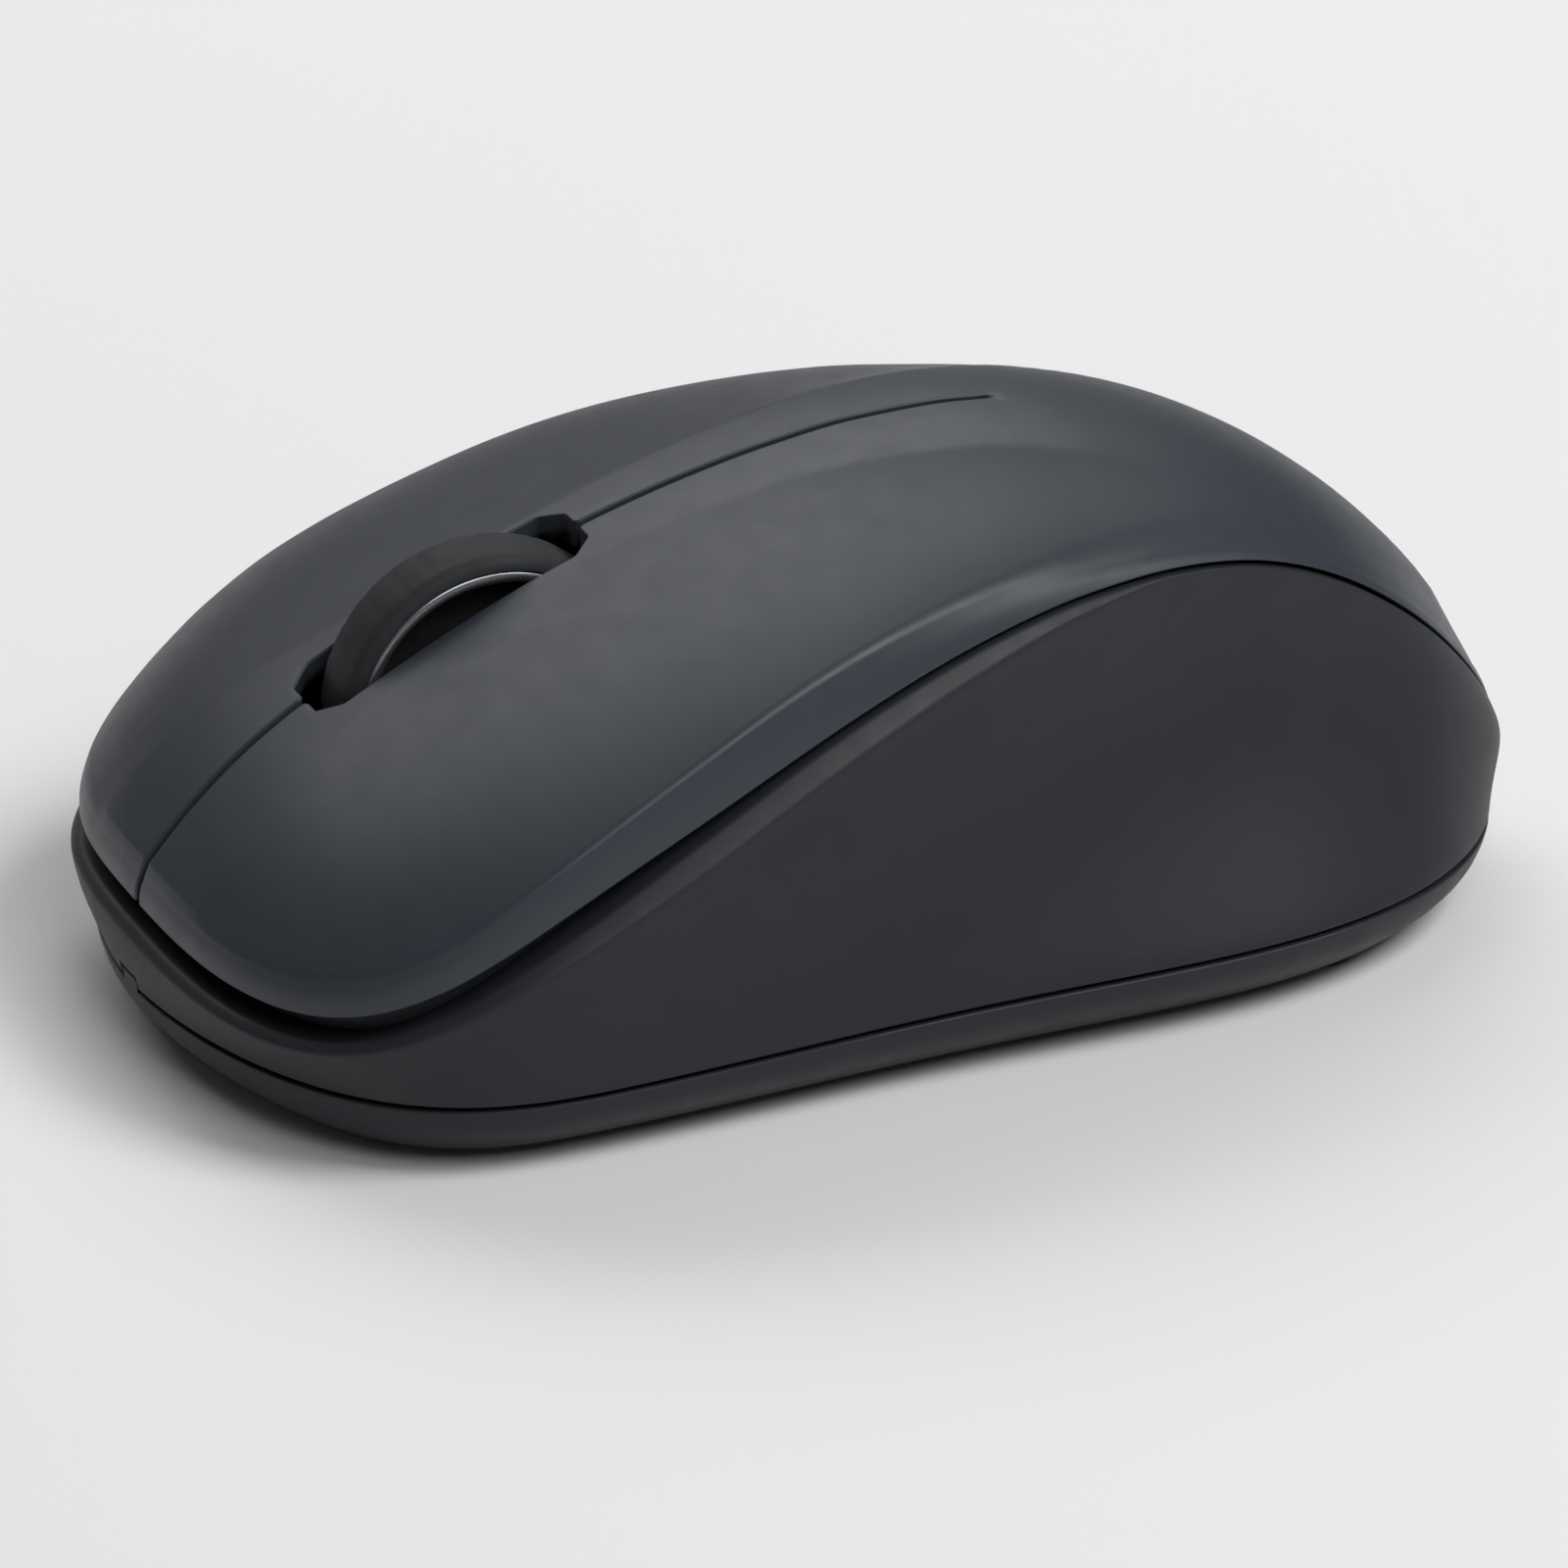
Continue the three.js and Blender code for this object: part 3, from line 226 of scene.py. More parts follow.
def weld(verts, faces, digits=5):
    """Joins points that coincide and drops faces that collapse."""
    keys, index, out = {}, np.zeros(len(verts), int), []
    for i, v in enumerate(verts):
        k = (round(float(v[0]), digits) + 0.0, round(float(v[1]), digits) + 0.0, round(float(v[2]), digits) + 0.0)
        if k not in keys:
            keys[k] = len(out)
            out.append(k)
        index[i] = keys[k]
    kept, keep = [], []
    for j, f in enumerate(faces):
        g = []
        for i in f:
            k = int(index[i])
            if not g or g[-1] != k:
                g.append(k)
        if len(g) > 1 and g[0] == g[-1]:
            g.pop()
        if len(set(g)) == len(g) and len(g) > 2:
            kept.append(tuple(g))
            keep.append(j)
    return np.array(out), kept, keep


def area_normals(verts, faces):
    n = np.zeros((len(verts), 3))
    for f in faces:
        p = verts[list(f)]
        a = np.zeros(3)
        for k in range(1, len(f) - 1):
            a += np.cross(p[k] - p[0], p[k + 1] - p[0])
        for i in f:
            n[i] += a
    l = np.linalg.norm(n, axis=1)
    l[l == 0] = 1
    return n / l[:, None]


def strip(rows, closed=False):
    """Faces between rows of equal length; row-major ids."""
    faces, m = [], len(rows[0])
    for a, b in zip(rows[:-1], rows[1:]):
        for j in range(m if closed else m - 1):
            k = (j + 1) % m
            faces.append((a[j], a[k], b[k], b[j]))
    return faces


def ring_mesh(name, half, angle=35.0, extra_caps=()):
    """half is (columns, rows, 3) for the +x side; rows run round the section. Returns a closed ring solid."""
    mir = half[-2:0:-1] * [-1, 1, 1]
    full = np.concatenate([half, mir])
    full[0, :, 0] = 0
    full[len(half) - 1, :, 0] = 0
    c, r = full.shape[:2]
    faces = []
    for i in range(c):
        j = (i + 1) % c
        for k in range(r):
            l = (k + 1) % r
            faces.append((i * r + k, j * r + k, j * r + l, i * r + l))
    return full.reshape(-1, 3), faces


def inside(poly, pts):
    x, y = pts[:, 0], pts[:, 1]
    c = np.zeros(len(pts), bool)
    n = len(poly)
    for i in range(n):
        x0, y0 = poly[i]
        x1, y1 = poly[(i + 1) % n]
        if y0 == y1:
            continue
        hit = (y0 > y) != (y1 > y)
        c ^= hit & (x < (x1 - x0) * (y - y0) / (y1 - y0) + x0)
    return c


def triangulate(loop, lines, spacing, keep_off=None):
    """Triangles of about the same size inside a closed loop, with the lines as edges. Returns points and faces, counter-clockwise."""
    loop = np.array(loop, float)
    pts = [tuple(p) for p in loop]
    edges = [(i, (i + 1) % len(loop)) for i in range(len(loop))]
    near = [loop]
    for line in lines:
        ids = []
        for p in line:
            d = np.hypot(*(loop - p).T)
            k = int(np.argmin(d))
            if d[k] < 1e-6:
                ids.append(k)
            else:
                ids.append(len(pts))
                pts.append(tuple(map(float, p)))
        edges += list(zip(ids[:-1], ids[1:]))
        near.append(np.array(line, float))
    lo, hi = loop.min(0), loop.max(0)
    rows = np.arange(lo[1], hi[1], spacing * 0.866)
    grid = []
    for r, y in enumerate(rows):
        xs = np.arange(lo[0] + (spacing / 2 if r % 2 else 0), hi[0], spacing)
        grid.append(np.stack([xs, np.full(len(xs), y)], 1))
    grid = np.concatenate(grid)
    grid = grid[inside(loop, grid)]
    for block in near:
        # points stay clear of the edges, measured to points every 0.3 mm along them
        closed = np.vstack([block, block[:1]]) if block is loop else block
        dense = [closed[:1]]
        for a, b in zip(closed[:-1], closed[1:]):
            k = max(1, int(np.hypot(*(b - a)) / 0.3))
            dense.append(a + (b - a) * (np.arange(1, k + 1) / k)[:, None])
        dense = np.concatenate(dense)
        d = np.full(len(grid), 1e9)
        for s in range(0, len(dense), 400):
            q = dense[s : s + 400]
            d = np.minimum(d, np.min(np.hypot(grid[:, None, 0] - q[None, :, 0], grid[:, None, 1] - q[None, :, 1]), 1))
        grid = grid[d > spacing * 0.52]
    pts += [tuple(p) for p in grid]
    vs, _, fs, ov, _, _ = delaunay_2d_cdt([Vector(p) for p in pts], edges, [], 0, 1e-6)
    out = np.array([pts[o[0]] if o else (v.x, v.y) for v, o in zip(vs, ov)])
    tri = np.array([f for f in fs if len(f) == 3], int)
    a, b, c = out[tri[:, 0]], out[tri[:, 1]], out[tri[:, 2]]
    s = (b[:, 0] - a[:, 0]) * (c[:, 1] - a[:, 1]) - (b[:, 1] - a[:, 1]) * (c[:, 0] - a[:, 0])
    tri[s < 0] = tri[s < 0][:, ::-1]
    good = inside(loop, (a + b + c) / 3) & (np.abs(s) > 1e-7)
    return out, tri[good]


# ------------------------------------------------------------------ top cover
R4, R5 = fine(RIM_TOP), fine(CREASE)
N4, N5 = plan_normals(R4), plan_normals(R5)
W_SLIT = SLIT_W / 2
EDGE_R = 0.18


def walk(points, radii, step):
    """Points along a polyline with rounded corners, and at each the unit vector to its left."""
    pts = [np.array(p, float) for p in points]
    out = []
    start = pts[0]
    for k in range(1, len(pts)):
        t = pts[k] - pts[k - 1]
        t = t / np.linalg.norm(t)
        end, arc = pts[k], None
        if k < len(pts) - 1 and radii[k] > 0:
            t2 = pts[k + 1] - pts[k]
            t2 = t2 / np.linalg.norm(t2)
            turn = math.atan2(t[0] * t2[1] - t[1] * t2[0], t.dot(t2))
            l = radii[k] * math.tan(abs(turn) / 2)
            end = pts[k] - l * t
            arc = (t, turn, radii[k], pts[k] + l * t2)
        n = max(1, int(round(np.linalg.norm(end - start) / step)))
        left = np.array([-t[1], t[0]])
        for j in range(n + (1 if arc is None and k == len(pts) - 1 else 0)):
            out.append((start + (end - start) * j / n, left))
        if arc:
            t, turn, rad, nxt = arc
            side = 1 if turn > 0 else -1
            centre = end + side * rad * left
            m = 5
            for j in range(m):
                a = turn * j / m
                d = np.array([left[0] * math.cos(a) - left[1] * math.sin(a), left[0] * math.sin(a) + left[1] * math.cos(a)])
                out.append((centre - side * rad * d, d))
            start = nxt
        else:
            start = end
    return out


def build_cover():
    fill = table([-50, -30, 0, 18, 35, 50], [0.4, 0.45, 0.7, 1.5, 2.6, 2.4], R5[:, 1])
    pc = R5 - fill[:, None] * flat3(N5)
    pc[0, 0] = pc[-1, 0] = 0
    pc[:, 2] = top_z(pc[:, 0], pc[:, 1])
    d = R5 - R4
    length = np.linalg.norm(d, axis=1)[:, None]
    d = d / length
    n4 = flat3(N4)
    rr = 0.3
    rows = []
    bez = lambda a, b, c, t: (1 - t) ** 2 * a + 2 * t * (1 - t) * b + t * t * c
    for t in (0, 0.25, 0.5, 0.75, 1.0):
        rows.append(bez(R4 - rr * n4, R4, R4 + rr * d, t))
    a1 = R4 + rr * d
    a2 = R5 - np.minimum(0.42 * length, 0.8 * fill[:, None]) * d
    for t in (0.2, 0.4, 0.6, 0.8):
        rows.append(a1 + (a2 - a1) * t + 0.10 * math.sin(math.pi * t) * n4)
    for t in np.linspace(0, 1, 9):
        rows.append(bez(a2, R5, pc, t))
    rows = np.array(rows)  # (K, columns, 3)
    K = len(rows)
    # inner skin of the same rows
    q4 = R4 - COVER_T * n4
    q5 = R5 - COVER_T * n4
    q5[:, 2] = np.maximum(R5[:, 2] - 1.3, R4[:, 2] + 0.25)
    qc = R5 - (fill + COVER_T * 0.8)[:, None] * flat3(N5)
    qc[:, 2] = top_z(qc[:, 0], qc[:, 1]) - COVER_T * 1.12
    q4[[0, -1], 0] = q5[[0, -1], 0] = qc[[0, -1], 0] = 0
    inner = []
    for k in range(K):
        if k <= 9:
            inner.append(q4 + (q5 - q4) * (k / 9))
        else:
            inner.append(q5 + (qc - q5) * ((k - 9) / (K - 1 - 9)))
    inner = np.array(inner)
    # the slit edge of the band, at the nose
    rows[:, 0, 0] = W_SLIT + EDGE_R
    inner[:, 0, 0] = W_SLIT
    pc = rows[-1]
    qc = inner[-1]
    # edge line from the nose to where the slit ends, then the middle of the palm
    s0, s1, sh, sc = SLOT_Y0, SLOT_Y1, SLOT_HALF, SLOT_CUT
    split = int(np.argmin(np.abs(pc[:, 1] - 17.0)))
    y_split = pc[split, 1]
    path = walk(
        [(W_SLIT, pc[0, 1]), (W_SLIT, s0), (sh - sc, s0), (sh, s0 + sc), (sh, s1 - sc), (sh - sc, s1), (W_SLIT, s1), (W_SLIT, 12.0), (0.0, 12.5), (0.0, y_split)],
        [0, 0.45, 0.5, 0.7, 0.7, 0.5, 0.45, 0, 0, 0],
        0.75,
    )
    wall = np.array([p for p, _ in path])
    left = np.array([v for _, v in path])
    r = np.where(wall[:, 1] < 11.0, EDGE_R, 0.0)
    ramp = (wall[:, 1] >= 11.0) & (wall[:, 1] < 12.2)
    r[ramp] = EDGE_R * (12.2 - wall[ramp, 1]) / 1.2
    left[wall[:, 1] > 11.9] = (-1, 0)
    edge = wall - r[:, None] * left
    edge[0] = pc[0, :2]
    wall[0] = (W_SLIT, pc[0, 1])
    mid = np.arange(y_split, pc[-1, 1], 0.9)[1:]
    mid = mid[mid < pc[-1, 1] - 0.3]
    mid = np.stack([0 * mid, mid], 1)
    loop = np.concatenate([pc[:, :2], mid[::-1], edge[:0:-1]])
    ys = np.arange(-46, 18.5, 0.8)
    ridge = np.stack([table(KY_RIDGE, RIDGE, ys), ys], 1)
    ridge = ridge[(ridge[:, 1] < y_split - 0.6)]
    seam_n = max(2, int(pc[split, 0] / 0.9))
    seam = [(pc[split, 0] * j / seam_n, y_split) for j in range(seam_n + 1)]
    vo, to = triangulate(loop, [seam, ridge, ridge + [0.45, 0], ridge - [0.45, 0]], 0.95)
    zo = top_z(vo[:, 0], vo[:, 1])
    V, F, T = [], [], []

    def add(points, faces, tags):
        base = len(V)
        V.extend(map(tuple, points))
        F.extend(tuple(base + i for i in f) for f in faces)
        T.extend(tags)

    cen = (vo[to[:, 0]] + vo[to[:, 1]] + vo[to[:, 2]]) / 3
    add(np.column_stack([vo, zo]), to, ["palm" if c[1] > y_split else "key" for c in cen])
    # band: rows from the rim edge to the top
    m = rows.shape[1]
    ids = np.arange(K * m).reshape(K, m)
    f = strip(ids)
    add(rows.reshape(-1, 3), f, ["key" if (q[0] % m) < split else "palm" for q in f])
    # land under the rim
    land = np.concatenate([inner[0], rows[0]])
    f = strip(np.arange(2 * m).reshape(2, m))
    add(land, f, ["key" if (q[0] % m) < split else "palm" for q in f])
    # inner band, facing in
    f = [tuple(reversed(q)) for q in strip(ids)]
    add(inner.reshape(-1, 3), f, ["key" if (min(q) % m) < split else "palm" for q in f])
    # inner skin
    y_a = pc[0, 1]
    y_in = np.where(wall[:, 1] < y_a + 6, qc[0, 1] + (wall[:, 1] - y_a) / 6 * (y_a + 6 - qc[0, 1]), wall[:, 1])
    wall_in = np.stack([wall[:, 0], y_in], 1)
    wall_in[0] = qc[0, :2]
    mid_in = np.arange(y_split, qc[-1, 1], 2.0)[1:]
    mid_in = mid_in[mid_in < qc[-1, 1] - 0.5]
    mid_in = np.stack([0 * mid_in, mid_in], 1)
    loop_in = np.concatenate([qc[:, :2], mid_in[::-1], wall_in[:0:-1]])
    seam_in = [np.array([0, y_split]) + (qc[split, :2] - [0, y_split]) * j / 8 for j in range(9)]
    vi, ti = triangulate(loop_in, [seam_in], 2.2)
    zi = top_z(vi[:, 0], vi[:, 1]) - COVER_T * 1.12
    cen = (vi[ti[:, 0]] + vi[ti[:, 1]] + vi[ti[:, 2]]) / 3
    line = y_split + (qc[split, 1] - y_split) * np.clip(cen[:, 0] / qc[split, 0], 0, 1)
    add(np.column_stack([vi, zi]), ti[:, ::-1], ["palm" if c[1] > l else "key" for c, l in zip(cen, line)])
    # rounded edge and wall along the slit and the wheel slot
    h = 0.02
    gx = (top_z(edge[:, 0] + h, edge[:, 1]) - top_z(edge[:, 0] - h, edge[:, 1])) / (2 * h)
    gy = (top_z(edge[:, 0], edge[:, 1] + h) - top_z(edge[:, 0], edge[:, 1] - h)) / (2 * h)
    nt = np.stack([-gx, -gy, np.ones(len(gx))], 1)
    nt /= np.linalg.norm(nt, axis=1)[:, None]
    b_top = np.column_stack([edge, top_z(edge[:, 0], edge[:, 1])])
    col = rows[:, 0]
    tan = np.gradient(col[:, 1:], axis=0)
    nb = np.stack([0 * tan[:, 0], -tan[:, 1], tan[:, 0]], 1)
    nb /= np.linalg.norm(nb, axis=1)[:, None]
    chain = np.concatenate([col[:-1], b_top])
    normal = np.concatenate([nb[:-1], nt])
    out = np.concatenate([np.tile([-1.0, 0], (K - 1, 1)), left])
    rad = np.concatenate([np.full(K - 1, EDGE_R), r])
    end = np.concatenate([inner[:-1, 0], np.column_stack([wall_in, top_z(wall_in[:, 0], wall_in[:, 1]) - COVER_T * 1.12])])
    end[K - 1] = inner[-1, 0]
    out3 = np.column_stack([out, np.zeros(len(out))])
    lines = []
    for th in (0, 22.5, 45, 67.5, 90):
        a = math.radians(th)
        p = chain + out3 * (rad * math.sin(a))[:, None] - normal * (rad * (1 - math.cos(a)))[:, None]
        lines.append(p)
    lines[-1][K - 1 :, :2] = np.where(rad[K - 1 :, None] > 0, lines[-1][K - 1 :, :2], wall)
    for t in (0.5, 1.0):
        lines.append(lines[4] + (end - lines[4]) * t)
    lines = np.array(lines)
    f = [tuple(reversed(q)) for q in strip(np.arange(lines.shape[0] * lines.shape[1]).reshape(lines.shape[:2]))]
    add(lines.reshape(-1, 3), [q[::-1] for q in f], ["key"] * len(f))
    return np.array(V), F, T, y_split


def cap_holes(faces):
    """The closed loops of edges that only one face uses, as faces that close them."""
    edges = {}
    for f in faces:
        for a, b in zip(f, f[1:] + f[:1]):
            edges[(a, b)] = edges.get((a, b), 0) + 1
    nxt = {}
    for a, b in edges:
        if (b, a) not in edges:
            nxt.setdefault(b, []).append(a)
    loops = []
    while nxt:
        a = next(iter(nxt))
        loop = [a]
        while True:
            b = nxt[loop[-1]].pop()
            if not nxt[loop[-1]]:
                del nxt[loop[-1]]
            if b == a or b not in nxt:
                break
            loop.append(b)
        loops.append(tuple(loop))
    return loops


V, F, T, Y_SPLIT = build_cover()
V, F, kept = weld(V, F)
T = [T[i] for i in kept]
mirror = V * [-1, 1, 1]
both_v, both_f, kept = weld(np.concatenate([V, mirror]), F + [tuple(len(V) + i for i in reversed(f)) for f in F])
both_t = [("L" + T[i]) if i < len(F) else ("R" + T[i - len(F)]) for i in kept]
both_n = area_normals(both_v, both_f)


def cover_piece(name, tags):
    faces = [f for f, t in zip(both_f, both_t) if t in tags]
    used = sorted({i for f in faces for i in f})
    at = {g: i for i, g in enumerate(used)}
    faces = [tuple(at[i] for i in f) for f in faces]
    caps = cap_holes(faces)
    return make(name, both_v[used], faces + [c for c in caps if len(c) > 2], both_n[used]), caps


cover_palm, caps_a = cover_piece("top_cover_palm", ("Lpalm", "Rpalm"))
cover_left, caps_b = cover_piece("top_cover_left_key", ("Lkey",))
cover_right, caps_c = cover_piece("top_cover_right_key", ("Rkey",))
print("cover", len(both_v), "points", [len(c) for c in caps_a], [len(c) for c in caps_b], [len(c) for c in caps_c])


# ------------------------------------------------------------------ boxes, lathes, booleans
def from_bm(name, bm, angle=35.0):
    me = bpy.data.meshes.new(name)
    bm.normal_update()
    bm.to_mesh(me)
    bm.free()
    me.shade_smooth()
    if angle is not None:
        me.set_sharp_from_angle(angle=math.radians(angle))
    return link(bpy.data.objects.new(name, me))


def prism(outline, z0, z1, r0=0.0, r1=0.0, seg=3):
    """An upright prism with rounded lower (r0) and upper (r1) edges, as points and faces."""
    o = np.array(outline, float)
    if np.sum(o[:, 0] * np.roll(o[:, 1], -1) - np.roll(o[:, 0], -1) * o[:, 1]) < 0:
        o = o[::-1]
    prev, nxt = np.roll(o, 1, 0), np.roll(o, -1, 0)
    a, b = o - prev, nxt - o
    a /= np.linalg.norm(a, axis=1)[:, None]
    b /= np.linalg.norm(b, axis=1)[:, None]
    na, nb = np.stack([a[:, 1], -a[:, 0]], 1), np.stack([b[:, 1], -b[:, 0]], 1)
    m = na + nb
    m /= np.maximum(np.sum(m * na, 1), 0.3)[:, None]
    rows = []
    if r0:
        for k in range(seg):
            t = math.pi / 2 * k / seg
            rows.append((r0 * (1 - math.sin(t)), z0 + r0 * (1 - math.cos(t))))
        rows.append((0.0, z0 + r0))
    else:
        rows.append((0.0, z0))
    if r1:
        for k in range(seg + 1):
            t = math.pi / 2 * k / seg
            rows.append((r1 * (1 - math.cos(t)), z1 - r1 * (1 - math.sin(t))))
    else:
        rows.append((0.0, z1))
    v, ids = [], []
    for inset, z in rows:
        p = o - inset * m
        ids.append(list(range(len(v), len(v) + len(o))))
        v += [(x, y, z) for x, y in p]
    f = strip(ids, closed=True)
    f.append(tuple(reversed(ids[0])))
    f.append(tuple(ids[-1]))
    return v, f


def round_rect(cx, cy, w, h, r, n=8):
    out = []
    for sx, sy, a0 in ((1, -1, -90), (1, 1, 0), (-1, 1, 90), (-1, -1, 180)):
        for k in range(n + 1):
            a = math.radians(a0 + 90 * k / n)
            out.append((cx + sx * (w / 2 - r) + r * math.cos(a), cy + sy * (h / 2 - r) + r * math.sin(a)))
    return out


def disc(cx, cy, r, n=32, phase=0.0):
    return [(cx + r * math.cos(2 * math.pi * (k + phase) / n), cy + r * math.sin(2 * math.pi * (k + phase) / n)) for k in range(n)]


def lathe(profile, seg, frame_of, bend=None, closed=False):
    """Turns (along, radius) points; frame_of(along, radius, angle) gives the point. Ends on the axis close themselves."""
    prof = list(profile)
    if not closed:
        if prof[0][1] > 1e-9:
            prof = [(prof[0][0], 0.0)] + prof
        if prof[-1][1] > 1e-9:
            prof = prof + [(prof[-1][0], 0.0)]
    v, ids = [], []
    for s, r in prof:
        row = []
        for k in range(seg):
            a = 2 * math.pi * k / seg
            rr = r + (bend(s, r, a) if bend else 0.0)
            row.append(len(v))
            v.append(frame_of(s, rr, a))
        ids.append(row)
    if closed:
        ids.append(ids[0])
    f = strip(ids, closed=True)
    return v, f


def solid(name, v, f, angle=35.0, digits=5):
    """A welded mesh whose faces point out."""
    v, f, _ = weld(np.array(v, float), [tuple(x) for x in f], digits)
    o = make(name, v, f, angle=None)
    bm = bmesh.new()
    bm.from_mesh(o.data)
    bmesh.ops.recalc_face_normals(bm, faces=bm.faces)
    if bm.calc_volume(signed=True) < 0:
        bmesh.ops.reverse_faces(bm, faces=bm.faces)
    bm.to_mesh(o.data)
    bm.free()
    o.data.shade_smooth()
    if angle is not None:
        o.data.set_sharp_from_angle(angle=math.radians(angle))
    return o


def about_x(y, z):
    return lambda s, r, a: (s, y + r * math.cos(a), z + r * math.sin(a))


def about_y(x, z):
    return lambda s, r, a: (x + r * math.cos(a), s, z + r * math.sin(a))


def about_z(x, y):
    return lambda s, r, a: (x + r * math.cos(a), y + r * math.sin(a), s)


def boolean(target, cutter, op="DIFFERENCE", self_cut=False, angle=35.0):
    m = target.modifiers.new("b", "BOOLEAN")
    m.object, m.operation, m.solver = cutter, op, "EXACT"
    m.use_self = self_cut
    bpy.context.view_layer.update()
    dg = bpy.context.evaluated_depsgraph_get()
    me = bpy.data.meshes.new_from_object(target.evaluated_get(dg))
    target.modifiers.clear()
    old = target.data
    target.data = me
    me.name = target.name
    bpy.data.meshes.remove(old)
    bpy.data.objects.remove(cutter)
    bm = bmesh.new()
    bm.from_mesh(me)
    bmesh.ops.remove_doubles(bm, verts=bm.verts, dist=2e-7)
    bmesh.ops.dissolve_degenerate(bm, dist=1e-7, edges=bm.edges)
    bm.to_mesh(me)
    bm.free()
    me.shade_smooth()
    if angle is not None:
        me.set_sharp_from_angle(angle=math.radians(angle))
    return target


def group_solid(name, parts):
    """Several closed pieces in one mesh object, used as a cutter."""
    v, f = [], []
    for pv, pf in parts:
        base = len(v)
        v += list(pv)
        f += [tuple(base + i for i in q) for q in pf]
    return solid(name, v, f)


# ------------------------------------------------------------------ side shell
UP = R4.copy()
UP[:, 2] -= table(KY_GAP, GAP, R4[:, 1])
LOW = fine(PARTING)
NL = plan_normals(LOW)
LOW_Z = LOW[:, 2].copy()
LOW[:, 2] += SEAM / 2
SW = table(KY_SHOULDER, SHOULDER, R4[:, 1])
SHO = UP + 0.75 * SW[:, None] * flat3(N4)
SHO[:, 2] -= 0.75 * SW


def wall(t, inset):
    n = NL * (1 - t) + N4 * t
    n /= np.linalg.norm(n, axis=1)[:, None]
    p = LOW * (1 - t) + SHO * t
    depth = table(KY_SCOOP, SCOOP, p[:, 1]) * np.sin(np.pi * t**1.15) + inset
    p = p - depth[:, None] * flat3(n)
    p[0, 0] = p[-1, 0] = 0
    return p


def bezier(a, b, c, n):
    return [(1 - t) ** 2 * a + 2 * t * (1 - t) * b + t * t * c for t in np.linspace(0, 1, n)]


def toward(a, b, dist):
    d = b - a
    l = np.linalg.norm(d, axis=1)[:, None]
    return a + d * np.minimum(dist / np.maximum(l, 1e-9), 0.45)


def side_half():
    n4 = flat3(N4)
    rows = []
    p0, p1 = wall(0.0, 0.0), wall(0.02, 0.0)
    floor_in = wall(0.0, 0.35)
    rows += bezier(floor_in, p0, p1, 4)
    rows += [wall(t, 0.0) for t in np.linspace(0.02, 0.93, 26)[1:]]
    a = rows[-1]
    soft = np.clip(0.35 * SW[:, None], 0.05, 0.6)
    b = toward(SHO, UP, soft)
    rows += bezier(a, SHO, b, 7)[1:]
    c = toward(UP, SHO, 0.3)
    inner_top = UP - 2.35 * n4
    dz = table([-50, 28, 43, 50], [0, 0, -0.6, -0.6], UP[:, 1])
    inner_top[:, 2] += dz
    dd = toward(UP, inner_top, 0.3)
    rows.append((b + c) / 2)
    rows += bezier(c, UP, dd, 5)
    rows.append(inner_top)
    lip = table([-50, -16, -2, 28, 43, 50], [1.3, 1.2, -0.15, -0.15, -0.75, -0.75], UP[:, 1])
    q = UP - 2.40 * n4
    q[:, 2] = UP[:, 2] + lip
    rows.append(q)
    q = UP - 3.35 * n4
    q[:, 2] = UP[:, 2] + lip
    rows.append(q)
    q = UP - 3.45 * n4
    q[:, 2] = UP[:, 2] - 1.2
    rows.append(q)
    rows += [wall(t, WALL_T) for t in (0.8, 0.6, 0.4, 0.2, 0.0)]
    rows = np.array(rows)
    rows[:, [0, -1], 0] = 0
    return np.transpose(rows, (1, 0, 2))


half = side_half()
v, f = ring_mesh("side", half)
side = solid("side_shell_fine", v, f, angle=32)
side = boolean(side, group_solid("notch", [prism(round_rect(0, -49, 2 * (TAB_HALF + SEAM), 10, 0.4, 4), 0, TAB_TOP + SEAM)]), angle=32)
posts = []
for x, y in CASE_SCREWS:
    prof = [(4.8, 1.15), (4.8, 2.3), (5.0, 2.5), (13.3, 2.5), (13.5, 2.3), (13.5, 0.0), (12.0, 0.0), (12.0, 1.15)]
    pv, pf = lathe(prof, 32, about_z(x, y), closed=True)
    posts.append(solid("side_post_%d" % len(posts), pv, pf))


# ------------------------------------------------------------------ base
RIM = fine(PARTING)
RIM[:, 2] -= SEAM / 2
EDGE = fine(FLOOR_EDGE)


def base_point(t, inset):
    p = EDGE * (1 - t) + RIM * t
    p = p + (0.9 * math.sin(math.pi * t) - inset) * flat3(NL)
    p[0, 0] = p[-1, 0] = 0
    return p


def base_half():
    rows = []
    a = EDGE - 0.9 * flat3(NL)
    a[:, 2] = FLOOR_Z
    b = base_point(0.12, 0.0)
    rows += bezier(a, EDGE.copy(), b, 6)
    rows += [base_point(t, 0.0) for t in (0.24, 0.38, 0.52, 0.66, 0.8, 0.9)]
    top = RIM
    c = base_point(0.95, 0.0)
    d = RIM - 0.3 * flat3(NL)
    rows += bezier(c, top, d, 4)
    e = RIM - WALL_T * flat3(NL)
    rows.append(e)
    g = base_point(0.36, WALL_T + 0.3)
    g[:, 2] = FLOOR_Z + FLOOR_T
    rows.append(g)
    rows = np.array(rows)
    rows[:, [0, -1], 0] = 0
    return np.transpose(rows, (1, 0, 2))


def base_solid():
    half = base_half()
    mir = half[-2:0:-1] * [-1, 1, 1]
    full = np.concatenate([half, mir])
    c, r = full.shape[:2]
    ids = np.arange(c * r).reshape(c, r)
    f = []
    for i in range(c):
        j = (i + 1) % c
        for k in range(r - 1):
            f.append((ids[i, k], ids[j, k], ids[j, k + 1], ids[i, k + 1]))
    f.append(tuple(ids[::-1, 0]))
    f.append(tuple(ids[:, -1]))
    return full.reshape(-1, 3), f


v, f = base_solid()
base = solid("base_shell_fine", v, f, angle=32)
FLOOR_IN = FLOOR_Z + FLOOR_T


